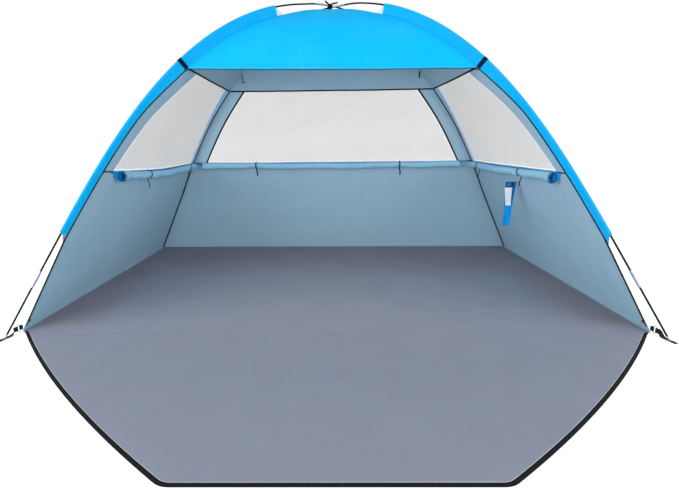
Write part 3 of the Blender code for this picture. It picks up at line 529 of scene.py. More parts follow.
def loft(
    name: str,
    rings: Array,
    materials: Sequence[Material],
    around: Optional[Array] = None,
    joined: bool = False,
    slots: Optional[Sequence[int]] = None,
    sharp: float = 40.0,
) -> Object:
    """Closed solid through rings of points.

    Args:
        name: Name of the piece.
        rings: Rings of equal count along the piece.
        materials: Materials in slot order.
        around: Surface coordinate at each place round a ring and back at its start, in metres.
        joined: Whether the last ring joins the first, instead of both having caps.
        slots: Material slot of each strip round a ring.
        sharp: Angle in degrees above which an edge stays sharp.

    Returns:
        The new object.
    """
    count, sides = rings.shape[:2]
    centres, verts = rings.mean(axis=1), rings.reshape(-1, 3)
    run = run_along(centres)
    run = np.append(run, run[-1] + run[1])
    if around is None:
        around = run_along(np.concatenate([rings[0], rings[0][:1]]))
    index = np.arange(count * sides).reshape(count, sides)
    faces, corners, kinds = [], [], []
    for i in range(count if joined else count - 1):
        after = (i + 1) % count
        for j in range(sides):
            k = (j + 1) % sides
            faces.append((index[i, j], index[i, k], index[after, k], index[after, j]))
            corners += [(run[i], around[j]), (run[i], around[j + 1])]
            corners += [(run[i + 1], around[j + 1]), (run[i + 1], around[j])]
            kinds.append(slots[j] if slots else 0)
    if not joined:
        for i, way in ((0, -1), (count - 1, 1)):
            faces.append(tuple(index[i][::way]))
            corners += [(run[i], around[j]) for j in range(sides)[::way]]
            kinds.append(0)
    a, b, c, _ = (verts[k] for k in faces[0])
    if np.cross(b - a, c - a) @ ((a + b) / 2 - centres[0]) < 0:
        flipped, at = [], 0
        for face in faces:
            flipped += corners[at : at + len(face)][::-1]
            at += len(face)
        faces, corners = [face[::-1] for face in faces], flipped
    return add_mesh(name, verts, faces, materials, np.array(corners), kinds, sharp)


def flat_profile(width: float, thickness: float, crown: float = 0.0) -> Array:
    """Cross-section of a tape with soft edges.

    Args:
        width: How wide it is.
        thickness: How thick it is.
        crown: How much thicker each face is in the middle.

    Returns:
        Points, across and up.
    """
    w, t = width / 2, thickness / 2
    r = min(t, w / 3)
    upper = [(-w, 0), (-w + r, t), (-w / 3, t + crown), (w / 3, t + crown), (w - r, t), (w, 0)]
    return np.array([*upper, (w - r, -t), (-w + r, -t)])


def round_profile(radius: float, sides: int) -> Array:
    """Cross-section of a cord or a wire."""
    turns = 2 * math.pi * np.arange(sides) / sides
    return np.stack([np.cos(turns), np.sin(turns)], -1) * radius


def frames_along(line: Array, up: Array) -> tuple[Array, Array]:
    """Cross directions along a line, carried on from an up direction.

    Args:
        line: Points of the line.
        up: One direction to start with, or one for each point.

    Returns:
        Sideways and upward directions at each point.
    """
    along = unit(np.gradient(line, axis=0))
    wanted = np.broadcast_to(up, line.shape)
    ups, carried = [], wanted[0]
    for k, direction in enumerate(along):
        base = wanted[k] if up.ndim == 2 else carried
        carried = unit(base - direction * (base @ direction))
        ups.append(carried)
    return unit(np.cross(np.array(ups), along)), np.array(ups)


def run_along(line: Array) -> Array:
    """How far each point of a polyline is from its start, along it."""
    return np.concatenate([[0.0], np.cumsum(np.linalg.norm(np.diff(line, axis=0), axis=1))])


def spread(line: Array, count: int) -> Array:
    """Points at even spacing on a polyline.

    Args:
        line: Its points.
        count: How many are made.

    Returns:
        The new points.
    """
    run = run_along(line)
    even = np.linspace(0, run[-1], count)
    return np.stack([np.interp(even, run, line[:, k]) for k in range(3)], -1)


def resample(line: Array, spacing: float) -> Array:
    """Points on a polyline at about the given spacing."""
    return spread(line, max(2, round(run_along(line)[-1] / spacing)))


def curve_through(points: Sequence[Sequence[float]], count: int, steps: int = 24) -> Array:
    """Evenly spaced points on a smooth curve through given ones.

    Args:
        points: The given points.
        count: How many points there are to be.
        steps: Straight steps that each stretch between given points is worked out in.

    Returns:
        The new points.
    """
    knots = np.array(points, float)
    padded = np.concatenate([[2 * knots[0] - knots[1]], knots, [2 * knots[-1] - knots[-2]]])
    fine = []
    for k in range(1, len(padded) - 2):
        p0, p1, p2, p3 = padded[k - 1 : k + 3]
        for t in np.linspace(0, 1, steps, endpoint=False):
            square = (2 * p0 - 5 * p1 + 4 * p2 - p3) * t**2 / 2
            fine.append(p1 + (p2 - p0) * t / 2 + square + (3 * p1 - p0 - 3 * p2 + p3) * t**3 / 2)
    return spread(np.array([*fine, padded[-2]]), count)


# Materials


class Nodes:
    """Short way to add and join the nodes of one tree."""

    def __init__(self, tree: NodeTree) -> None:
        """Keeps the tree."""
        self.tree = tree

    def add(self, kind: str, **settings: object) -> Node:
        """Adds a node.

        Args:
            kind: Node type.
            **settings: Properties to set on it.

        Returns:
            The node.
        """
        node = self.tree.nodes.new(kind)
        for key, value in settings.items():
            setattr(node, key, value)
        return node

    def set(self, socket: NodeSocket, value: object) -> None:
        """Joins a socket to another, or gives it a plain value."""
        if isinstance(value, NodeSocket):
            self.tree.links.new(value, socket)
        else:
            socket.default_value = value

    def feed(self, node: Node, **values: object) -> Node:
        """Sets a node's inputs by name, with spaces written as underscores."""
        for key, value in values.items():
            self.set(node.inputs[key.replace("_", " ")], value)
        return node

    def math(self, operation: str, a: object, b: object = 0.0) -> NodeSocket:
        """Works out one sum.

        Args:
            operation: Its kind.
            a: First value or socket.
            b: Second value or socket.

        Returns:
            The result's socket.
        """
        node = self.add("ShaderNodeMath", operation=operation)
        self.set(node.inputs[0], a)
        self.set(node.inputs[1], b)
        return node.outputs[0]

    def plus(self, a: object, b: object) -> NodeSocket:
        """Sum of two values."""
        return self.math("ADD", a, b)

    def minus(self, a: object, b: object) -> NodeSocket:
        """First value less the second."""
        return self.math("SUBTRACT", a, b)

    def times(self, a: object, b: object) -> NodeSocket:
        """Product of two values."""
        return self.math("MULTIPLY", a, b)

    def share(self, a: object, b: object) -> NodeSocket:
        """First value divided by the second."""
        return self.math("DIVIDE", a, b)

    def size(self, value: object) -> NodeSocket:
        """Value without its sign."""
        return self.math("ABSOLUTE", value)

    def beat(self, value: object) -> NodeSocket:
        """Distance from the middle of the whole step that the value is in."""
        return self.size(self.minus(self.math("FRACT", value), 0.5))

    def ramp(self, value: object, low: float, high: float) -> NodeSocket:
        """Soft step from zero at low to one at high."""
        node = self.add("ShaderNodeMapRange", interpolation_type="SMOOTHSTEP")
        return self.feed(node, Value=value, From_Min=low, From_Max=high).outputs["Result"]

    def fade(self, value: object, low: float, high: float) -> NodeSocket:
        """Soft step from one at low to zero at high."""
        return self.minus(1.0, self.ramp(value, low, high))

    def noise(self, place: object, scale: object, detail: float = 3.0, rough: float = 0.55) -> NodeSocket:
        """Noise value at a place."""
        node = self.add("ShaderNodeTexNoise")
        return self.feed(node, Vector=place, Scale=scale, Detail=detail, Roughness=rough).outputs[0]

    def mix(self, factor: object, a: object, b: object, way: str = "MIX") -> NodeSocket:
        """Mixes two colours.

        Args:
            factor: Share of the second one.
            a: First colour or socket.
            b: Second colour or socket.
            way: MIX, or MULTIPLY for a times b.

        Returns:
            The result's socket.
        """
        node = self.add("ShaderNodeMix", data_type="RGBA", blend_type=way)
        a, b = ((*c, 1.0) if isinstance(c, tuple) else c for c in (a, b))
        return self.feed(node, Factor=factor, A=a, B=b).outputs["Result"]

    def bump(
        self, height: NodeSocket, distance: float, strength: float, normal: Optional[NodeSocket] = None
    ) -> NodeSocket:
        """Normal that follows a height.

        Args:
            height: The height.
            distance: Metres for a height of one.
            strength: How much of it shows.
            normal: Normal that it lies on.

        Returns:
            The normal's socket.
        """
        node = self.add("ShaderNodeBump")
        self.feed(node, Height=height, Distance=distance, Strength=strength)
        if normal is not None:
            self.feed(node, Normal=normal)
        return node.outputs["Normal"]

    def parts(self, place: NodeSocket) -> Sequence[NodeSocket]:
        """Takes a place apart.

        Args:
            place: The place.

        Returns:
            Sockets of its three values.
        """
        node = self.add("ShaderNodeSeparateXYZ")
        self.set(node.inputs[0], place)
        return node.outputs

    def group(self, tree: NodeTree, place: NodeSocket, **values: object) -> Sequence[NodeSocket]:
        """Outputs of an added group, whose number inputs are set by name."""
        node = self.add("ShaderNodeGroup", node_tree=tree)
        return self.feed(node, Coordinates=place, **values).outputs


class Effects:
    """Node groups that several finishes share."""

    def __init__(self) -> None:
        """Builds every group once."""
        self.weave = self.build_weave()
        self.creases = self.build_creases()
        self.stitches = self.build_stitches()
        self.dust = self.build_dust()
        self.painted_floor_shade = self.build_painted_floor_shade()

    def start(self, name: str, inputs: Sequence[str], outputs: Sequence[str]) -> tuple[Nodes, Node, Node]:
        """Makes an empty group.

        Args:
            name: Name of the group.
            inputs: Names of number inputs, after Coordinates.
            outputs: Names of value outputs.

        Returns:
            The tree's helper, its input node and its output node.
        """
        tree = bpy.data.node_groups.new(name, "ShaderNodeTree")
        tree.interface.new_socket("Coordinates", in_out="INPUT", socket_type="NodeSocketVector")
        for way, labels in (("INPUT", inputs), ("OUTPUT", outputs)):
            for label in labels:
                tree.interface.new_socket(label, in_out=way, socket_type="NodeSocketFloat")
        nodes = Nodes(tree)
        return nodes, nodes.add("NodeGroupInput"), nodes.add("NodeGroupOutput")

    def build_weave(self) -> NodeTree:
        """Plain weave: threads that pass over and under each other.

        Returns:
            The group, with the thread spacing as input and the height and gaps as outputs.
        """
        nodes, given, out = self.start("plain_weave", ["Thread"], ["Height", "Gap"])
        x, y, _ = nodes.parts(given.outputs["Coordinates"])
        u, v = (nodes.share(way, given.outputs["Thread"]) for way in (x, y))
        warp, weft = (nodes.size(nodes.math("SINE", nodes.times(way, math.pi))) for way in (u, v))
        cells = nodes.plus(nodes.math("FLOOR", u), nodes.math("FLOOR", v))
        odd = nodes.math("FLOORED_MODULO", cells, 2.0)
        height = nodes.plus(nodes.times(warp, odd), nodes.times(weft, nodes.minus(1.0, odd)))
        nodes.feed(out, Height=height, Gap=nodes.fade(height, 0.05, 0.5))
        return nodes.tree

    def build_creases(self) -> NodeTree:
        """Creases of thin coated cloth.

        Returns:
            The group, with the size of the creases as input and the height and tone as outputs.
        """
        nodes, given, out = self.start("cloth_creases", ["Size"], ["Height", "Tone"])
        scale = nodes.share(1.0, given.outputs["Size"])
        broad = nodes.noise(given.outputs["Coordinates"], scale, 3.0, 0.5)
        fine = nodes.noise(given.outputs["Coordinates"], nodes.times(scale, 3.7), 2.0, 0.5)
        ridge = nodes.size(nodes.minus(fine, 0.5))
        nodes.feed(out, Height=nodes.minus(broad, nodes.times(ridge, 0.5)), Tone=nodes.ramp(broad, 0.3, 0.7))
        return nodes.tree

    def build_stitches(self) -> NodeTree:
        """Row of lock stitches along the first surface coordinate.

        Returns:
            The group, with place, stitch length and thread width as inputs and the thread and the
            dent round it as outputs.
        """
        nodes, given, out = self.start("stitch_row", ["Place", "Length", "Width"], ["Thread", "Dent"])
        x, y, _ = nodes.parts(given.outputs["Coordinates"])
        near = nodes.share(nodes.size(nodes.minus(y, given.outputs["Place"])), given.outputs["Width"])
        inside = nodes.fade(nodes.beat(nodes.share(x, given.outputs["Length"])), 0.30, 0.42)
        thread = nodes.times(nodes.fade(near, 0.35, 0.6), inside)
        nodes.feed(out, Thread=thread, Dent=nodes.fade(near, 0.5, 3.0))
        return nodes.tree

    def build_dust(self) -> NodeTree:
        """Faint patchy dust and handling marks.

        Returns:
            The group, with the size of the patches as input and a mask as output.
        """
        nodes, given, out = self.start("faint_dust", ["Size"], ["Mask"])
        scale = nodes.share(1.0, given.outputs["Size"])
        patch = nodes.noise(given.outputs["Coordinates"], scale, 6.0, 0.65)
        speck = nodes.noise(given.outputs["Coordinates"], nodes.times(scale, 23.0), 2.0, 0.6)
        nodes.feed(out, Mask=nodes.times(nodes.ramp(patch, 0.45, 0.75), nodes.ramp(speck, 0.35, 0.8)))
        return nodes.tree

    def build_painted_floor_shade(self) -> NodeTree:
        """Masks for painted shade on the floor along the side and back walls, and for painted light over the
        rest of it, fading out across the porch.

        Returns:
            The group, with the masks of both parts as outputs.
        """
        nodes, given, out = self.start("floor_painted_shade", [], ["Dusty", "Clean"])
        x, y, _ = nodes.parts(given.outputs["Coordinates"])
        taper = (SIZES.sill_width - SIZES.back_width) / 2 / SIZES.floor_depth
        edge = nodes.minus(SIZES.sill_width / 2, nodes.times(y, taper))
        by_side = nodes.fade(nodes.minus(edge, nodes.size(x)), 0.06, 0.34)
        by_back = nodes.fade(nodes.minus(SIZES.floor_depth, y), 0.25, 0.75)
        painted_shade = nodes.times(nodes.math("MAXIMUM", by_side, by_back), nodes.ramp(y, -0.02, 0.14))
        painted_light = nodes.times(nodes.ramp(y, -0.35, 0.15), nodes.minus(1.0, painted_shade))
        nodes.feed(out, Dusty=painted_shade, Clean=painted_light)
        return nodes.tree


@dataclass(frozen=True)
class Finish:
    """One finish, with the name and the main colour of its material."""

    name: str
    colour: Colour

    def material(self, effects: Effects) -> Material:
        """Builds the material.

        Args:
            effects: The shared groups.

        Returns:
            The material.
        """
        material, nodes, shader = plain_material(self.name)
        looks = self.looks(nodes, nodes.add("ShaderNodeTexCoord").outputs, effects)
        for label, value in looks.items():
            nodes.set(shader.inputs[label], value)
        return material

    def looks(self, nodes: Nodes, place: Sequence[NodeSocket], effects: Effects) -> dict[str, object]:
        """Adds the nodes of the material.

        Args:
            nodes: Helper of the material's tree.
            place: Coordinates of the shaded point.
            effects: The shared groups.

        Returns:
            The shader's inputs by name, which each kind of finish gives in its own way.
        """
        raise NotImplementedError


@dataclass(frozen=True)
class ClothFinish(Finish):
    """Woven coated cloth."""

    shade: Colour
    roughness: float = 0.62
    thread: float = 0.0007
    crease: float = 0.45
    crease_size: float = 0.11
    shine: float = 0.12
    stitches: tuple[float, ...] = ()
    stitch_colour: Colour = (0.3, 0.3, 0.3)
    # is_floor adds the floor's painted shade along the walls and painted light over its open middle.
    is_floor: bool = False

    def looks(self, nodes: Nodes, place: Sequence[NodeSocket], effects: Effects) -> dict[str, object]:
        """Adds the cloth's nodes.

        Args:
            nodes: Helper of the material's tree.
            place: Coordinates of the shaded point.
            effects: The shared groups.

        Returns:
            The shader's inputs by name.
        """
        weave = nodes.group(effects.weave, place["UV"], Thread=self.thread)
        creases = nodes.group(effects.creases, place["Object"], Size=self.crease_size)
        dust = nodes.group(effects.dust, place["Object"], Size=0.30)
        colour = nodes.mix(nodes.times(creases["Tone"], 0.18), self.colour, self.shade)
        colour = nodes.mix(nodes.times(weave["Gap"], 0.35), colour, self.shade)
        colour = nodes.mix(nodes.times(dust["Mask"], 0.04), colour, tone(205, 200, 190))
        # On the floor: painted shade, warmer and darker, along the walls, and painted light over the open
        # floor.
        if self.is_floor:
            painted_floor_shade = nodes.group(effects.painted_floor_shade, place["Object"])
            colour = nodes.mix(painted_floor_shade["Dusty"], colour, (1.04, 0.86, 0.77), "MULTIPLY")
            colour = nodes.mix(painted_floor_shade["Clean"], colour, (1.12, 1.09, 1.07), "MULTIPLY")
        normal = nodes.bump(creases["Height"], 0.012, self.crease)
        normal = nodes.bump(weave["Height"], self.thread / 3, 0.5, normal)
        for row in self.stitches:
            stitch = nodes.group(effects.stitches, place["UV"], Place=row, Length=0.0032, Width=0.0009)
            colour = nodes.mix(stitch["Thread"], colour, self.stitch_colour)
            normal = nodes.bump(nodes.minus(stitch["Thread"], stitch["Dent"]), 0.0006, 0.6, normal)
        rough = nodes.plus(self.roughness - 0.05, nodes.times(creases["Tone"], 0.10))
        return {"Base Color": colour, "Roughness": rough, "Normal": normal, "Specular IOR Level": self.shine}


@dataclass(frozen=True)
class NetFinish(Finish):
    """Fine open net."""

    pitch: float = 0.0022
    cover: float = 0.17

    def looks(self, nodes: Nodes, place: Sequence[NodeSocket], effects: Effects) -> dict[str, object]:
        """Adds the net's nodes.

        Args:
            nodes: Helper of the material's tree.
            place: Coordinates of the shaded point.
            effects: The shared groups.

        Returns:
            The shader's inputs by name.
        """
        x, y, _ = nodes.parts(place["UV"])
        half, lines = self.cover / 2, []
        for way in (nodes.plus(x, y), nodes.minus(x, y)):
            lines.append(nodes.fade(nodes.beat(nodes.share(way, self.pitch)), half - 0.04, half + 0.06))
        threads = nodes.math("MAXIMUM", *lines)
        creases = nodes.group(effects.creases, place["Object"], Size=0.2)
        dark = tuple(c * 0.8 for c in self.colour)
        colour = nodes.mix(nodes.times(creases["Tone"], 0.4), self.colour, dark)
        normal = nodes.bump(threads, 0.0003, 0.6)
        return {"Base Color": colour, "Alpha": threads, "Normal": normal, "Roughness": 0.75}


@dataclass(frozen=True)
class WebbingFinish(Finish):
    """Ribbed woven tape with rows of stitches."""

    shade: Colour
    rib: float = 0.0013
    stitches: tuple[float, ...] = ()
    stitch_colour: Colour = (0.05, 0.05, 0.05)

    def looks(self, nodes: Nodes, place: Sequence[NodeSocket], effects: Effects) -> dict[str, object]:
        """Adds the tape's nodes.

        Args:
            nodes: Helper of the material's tree.
            place: Coordinates of the shaded point.
            effects: The shared groups.

        Returns:
            The shader's inputs by name.
        """
        weave = nodes.group(effects.weave, place["UV"], Thread=self.rib)
        dust = nodes.group(effects.dust, place["Object"], Size=0.04)
        colour = nodes.mix(nodes.times(weave["Gap"], 0.6), self.colour, self.shade)
        colour = nodes.mix(nodes.times(dust["Mask"], 0.10), colour, tone(150, 148, 142))
        normal = nodes.bump(weave["Height"], self.rib / 3, 0.8)
        for row in self.stitches:
            stitch = nodes.group(effects.stitches, place["UV"], Place=row, Length=0.0028, Width=0.0008)
            colour = nodes.mix(stitch["Thread"], colour, self.stitch_colour)
            normal = nodes.bump(stitch["Thread"], 0.0004, 0.7, normal)
        rough = nodes.plus(0.62, nodes.times(weave["Gap"], 0.2))
        return {"Base Color": colour, "Normal": normal, "Roughness": rough, "Specular IOR Level": 0.08}


@dataclass(frozen=True)
class HardFinish(Finish):
    """Metal, fibreglass or moulded plastic."""

    roughness: float
    metallic: float = 0.0
    grain: float = 0.01
    stretch: float = 1.0
    shine: float = 0.5

    def looks(self, nodes: Nodes, place: Sequence[NodeSocket], effects: Effects) -> dict[str, object]:
        """Adds the hard piece's nodes.

        Args:
            nodes: Helper of the material's tree.
            place: Coordinates of the shaded point.
            effects: The shared groups.

        Returns:
            The shader's inputs by name.
        """
        scale = (1.0, 1.0, self.stretch)
        drawn = nodes.feed(nodes.add("ShaderNodeMapping"), Vector=place["Object"], Scale=scale)
        grain = nodes.noise(drawn.outputs["Vector"], 1 / self.grain, 4.0, 0.6)
        dust = nodes.group(effects.dust, place["Object"], Size=0.05)
        darker = tuple(c * 0.75 for c in self.colour)
        colour = nodes.mix(nodes.times(grain, 0.5), self.colour, darker)
        rough = nodes.plus(self.roughness - 0.06, nodes.times(grain, 0.14))
        rough = nodes.plus(rough, nodes.times(dust["Mask"], 0.20))
        looks = {"Base Color": colour, "Roughness": rough, "Normal": nodes.bump(grain, 0.0002, 0.25)}
        return {**looks, "Metallic": self.metallic, "Specular IOR Level": self.shine}


def plain_material(name: str) -> tuple[Material, Nodes, Node]:
    """Starts a material.

    Args:
        name: Name of the material.

    Returns:
        The material, its tree's helper and its shader node.
    """
    material = bpy.data.materials.new(name)
    material.use_nodes = True
    return material, Nodes(material.node_tree), material.node_tree.nodes["Principled BSDF"]


class Finishes:
    """Every finish of the tent as a finished material."""

    def __init__(self) -> None:
        """Builds the materials."""
        effects = Effects()
        fold = {"roughness": 0.6, "crease": 0.9}
        made = [
            ClothFinish("sky_cloth", tone(0, 178, 240), tone(0, 170, 240), 0.75),
            ClothFinish("sky_hem", tone(0, 178, 240), tone(0, 168, 238), 0.75,
                        stitches=(-0.007, 0.007), stitch_colour=tone(70, 205, 250)),
            ClothFinish("seam_fold", tone(0, 158, 226), tone(0, 140, 210), 0.75,
                        stitches=(0.0,), stitch_colour=tone(60, 190, 240)),
            # Sky cloth darkened as painted shade, for the round sleeves.
            ClothFinish("sleeve_cloth", tone(0, 164, 228), tone(0, 150, 216), 0.7,
                        crease=0.7, crease_size=0.05),
            ClothFinish("silver_lining", tone(164, 198, 217), tone(151, 185, 204), 0.70),
            # Silver lining darkened as painted shade, for the left low gussets.
            ClothFinish("gusset_shaded_lining", tone(118, 152, 176), tone(96, 128, 152), 0.70),
            ClothFinish("pale_lining", tone(200, 214, 224), tone(176, 194, 208), 0.70),
            ClothFinish("cover_lining", tone(154, 206, 234), tone(120, 172, 206), crease_size=0.05, **fold),
            ClothFinish("cover_face", tone(26, 158, 226), tone(10, 128, 205), 0.65,
                        crease=0.8, crease_size=0.05),
            ClothFinish("floor_cloth", tone(145, 153, 170), tone(130, 137, 154), 0.66, 0.0011, 0.30, 0.16,
                        is_floor=True),
            ClothFinish("white_hem", tone(252, 254, 255), tone(240, 245, 250), 0.8, 0.0006, 0.1),
            ClothFinish("floor_hem", tone(178, 193, 203), tone(150, 168, 180), 0.8, 0.0008),
            ClothFinish("blank_label", tone(244, 246, 250), tone(222, 229, 238), 0.55,
                        crease=0.6, crease_size=0.02),
            ClothFinish("strip_cloth", tone(10, 156, 236), tone(4, 120, 205), crease_size=0.04, **fold),
            # Strip cloth darkened as painted shade, for the turned-over part along the strip's outer edge.
            ClothFinish("strip_shade", tone(4, 104, 180), tone(0, 80, 150), crease_size=0.03, **fold),
            ClothFinish("strip_piping", tone(130, 182, 208), tone(96, 150, 182), 0.7, 0.0005),
            NetFinish("window_net", tone(214, 213, 212), cover=0.155),
            NetFinish("sheer_binding", tone(252, 254, 255), 0.0013, 0.06),
            WebbingFinish("navy_tape", tone(1, 5, 18), tone(0, 2, 8), 0.0009,
                          (-0.0024, 0.0024), tone(6, 14, 40)),
            WebbingFinish("navy_band", tone(4, 14, 52), tone(1, 5, 22), 0.0012,
                          (-0.007, 0.007), tone(16, 34, 84)),
            WebbingFinish("zip_tape", tone(22, 23, 27), tone(9, 9, 12), 0.0008, (-0.0058,), tone(60, 62, 68)),
            # Pale colour for a strip along the zip tape's top by its inner edge, a painted highlight.
            WebbingFinish("zip_painted_highlight", tone(196, 200, 208), tone(160, 165, 175), 0.0008),
            WebbingFinish("webbing", tone(34, 34, 38), tone(9, 9, 11), 0.0014,
                          (-0.0066, 0.0066), tone(70, 70, 75)),
            WebbingFinish("tie_cord", tone(6, 8, 14), tone(2, 2, 5), 0.0008),
            WebbingFinish("tie_ribbon", tone(20, 38, 78), tone(8, 16, 40), 0.0008),
            HardFinish("black_fibreglass", tone(5, 5, 6), 0.6, grain=0.004, stretch=0.2, shine=0.10),
            HardFinish("bright_steel", tone(158, 163, 170), 0.30, 1.0, grain=0.003, stretch=0.3),
            HardFinish("hook_plastic", tone(6, 6, 8), 0.6, grain=0.002, shine=0.10),
            HardFinish("black_plastic", tone(20, 20, 23), 0.40, grain=0.002),
            HardFinish("zip_teeth", tone(30, 31, 35), 0.5, grain=0.002, shine=0.2),
        ]
        self.all = {finish.name: finish.material(effects) for finish in made}

    def pick(self, *names: str) -> list[Material]:
        """The materials of those names."""
        return [self.all[name] for name in names]


# The tent's pieces


def ride(item: Object, body: str, slot: str, *nodes: str) -> None:
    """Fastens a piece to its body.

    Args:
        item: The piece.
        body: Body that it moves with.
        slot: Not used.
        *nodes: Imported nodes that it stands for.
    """
    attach(item, body)
    if nodes:
        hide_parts(*nodes)
    log.info("%s rides on %s", item.name, body)


@dataclass
class SubAssembly:
    """Pieces that belong together and take their looks from the same finishes."""

    finishes: Finishes

    def sweep(
        self, name: str, line: Array, up: Array, shape: Array, finish: str, slot: str, *nodes: str,
        body: str = "tent", sharp: float = 50.0,
    ) -> None:
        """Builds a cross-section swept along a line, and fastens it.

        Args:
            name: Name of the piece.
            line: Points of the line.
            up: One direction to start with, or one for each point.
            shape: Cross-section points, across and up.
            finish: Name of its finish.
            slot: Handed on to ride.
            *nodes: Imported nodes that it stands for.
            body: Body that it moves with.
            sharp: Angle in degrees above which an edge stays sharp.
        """
        across, ups = frames_along(line, up)
        rings = line[:, None] + across[:, None] * shape[:, :1] + ups[:, None] * shape[:, 1:]
        is_flat = shape[:, 1].max() < shape[:, 0].max() / 2
        around = np.concatenate([shape[:, 0], shape[:1, 0]]) if is_flat else None
        ride(loft(name, rings, self.finishes.pick(finish), around, sharp=sharp), body, slot, *nodes)

    def teeth(self, name: str, line: Array, up: Array, size: Sequence[float], body: str) -> None:
        """Builds a row of small moulded zip teeth.

        Args:
            name: Name of the piece.
            line: Where the teeth stand.
            up: Directions that they stand up in.
            size: Length along the zip, width and height of a tooth.
            body: Body that they move with.
        """
        across, ups = frames_along(line, up)
        along = np.cross(across, ups)
        half, wide, high = size[0] / 2, size[1] / 2, size[2]
        shape = []
        for rise, narrow in ((0.0, 1.0), (0.7 * high, 1.0), (high, 0.6)):
            for a, b in ((-1, -1), (1, -1), (1, 1), (-1, 1)):
                shape.append((a * half * narrow, b * wide * narrow, rise))
        ways = np.stack([along, across, ups], 1)
        verts = line[:, None] + np.array(shape) @ ways
        after = (1, 2, 3, 0)
        walls = [(r + k, r + after[k], r + 4 + after[k], r + 4 + k) for r in (0, 4) for k in range(4)]
        block = np.array([(3, 2, 1, 0), (8, 9, 10, 11), *walls])
        faces = (block[None] + len(shape) * np.arange(len(line))[:, None, None]).reshape(-1, 4)
        row = add_mesh(name, verts.reshape(-1, 3), faces, self.finishes.pick("zip_teeth"), sharp=30.0)
        ride(row, body, "zip_tape")

    def dress(self, node: str, finish: str) -> None:
        """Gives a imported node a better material.

        Args:
            node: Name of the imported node.
            finish: Name of its finish.
        """
        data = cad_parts[node].data
        data.materials.clear()
        data.materials.append(*self.finishes.pick(finish))
        log.info("%s keeps its shape", node)


@dataclass
class Poles(SubAssembly):
    """The two bent poles with their ferrules, tips and cords."""

    ring_sides: int = 16
    bend_spacing: float = 0.012
    crimp: float = 0.0006
    roll: float = 0.0004
    fit: float = 0.0001

    def __post_init__(self) -> None:
        """Places both poles, the left one above the right one where they cross."""
        lift = (SIZES.pole_radius + SIZES.ferrule_radius + SIZES.gap) / 2
        self.paths = {"pole_left": PoleArc(-1, lift), "pole_right": PoleArc(1, -lift)}

    def tube(
        self, name: str, path: PoleArc, stations: Array, radii: Array | float, bore: float,
        finish: str, *nodes: str,
    ) -> None:
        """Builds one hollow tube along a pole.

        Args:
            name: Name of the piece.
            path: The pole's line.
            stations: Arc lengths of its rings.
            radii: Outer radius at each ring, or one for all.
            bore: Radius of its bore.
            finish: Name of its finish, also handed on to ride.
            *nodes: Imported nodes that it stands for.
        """
        point, inward = path.frame(stations)
        circle = round_profile(1.0, self.ring_sides)
        spokes = inward[:, None] * circle[:, :1] + path.across * circle[:, 1:]
        outer = point[:, None] + spokes * np.broadcast_to(radii, stations.shape)[:, None, None]
        rings = np.concatenate([outer, (point[:, None] + spokes * bore)[::-1]])
        item = loft(name, rings, self.finishes.pick(finish), joined=True, sharp=35.0)
        ride(item, "tent", finish, *nodes)

    def build(self) -> None:
        """Builds every section and ferrule, and dresses the tips and cords."""
        for name, path in self.paths.items():
            middle = (path.length - 2 * SIZES.end_section) / SIZES.middle_sections
            joints = [SIZES.end_section + middle * k for k in range(SIZES.middle_sections + 1)]
            ends = [SIZES.tube_start, *joints, path.length - SIZES.tube_start]
            for k, (low, high) in enumerate(zip(ends, ends[1:]), 1):
                count = max(2, round((high - low) / self.bend_spacing))
                stations = np.linspace(low + SIZES.gap, high, count)
                self.tube(
                    f"{name}_tube_{k}", path, stations, SIZES.pole_radius, SIZES.pole_bore,
                    "black_fibreglass", f"{name}_section_{k}",
                )
            for k, joint in enumerate(joints, 1):
                self.ferrule(f"{name}_ferrule_{k}", path, joint)
            for end in ("front", "back"):
                self.dress(f"{name}_{end}_tip", "bright_steel")
            self.dress(f"{name}_shock_cord", "tie_cord")

    def ferrule(self, name: str, path: PoleArc, joint: float) -> None:
        """Builds a steel ferrule with rolled ends and two crimps.

        Args:
            name: Name of the piece.
            path: The pole's line.
            joint: Arc length of the joint that it covers.
        """
        reach, roll = SIZES.ferrule_reach, self.roll
        places = [(-reach, -roll), (-reach + 0.0006, 0.0), (-reach + 0.002, 0.0), (-reach + 0.003, -roll / 2)]
        places += [(-0.012, 0.0), (-0.010, -self.crimp), (-0.008, 0.0), (0.0, 0.0)]
        places += [(-x, r) for x, r in places[-2::-1]]
        along, rise = np.array(places).T
        radii = SIZES.ferrule_radius + rise
        self.tube(name, path, joint + along, radii, SIZES.pole_radius + self.fit, "bright_steel")


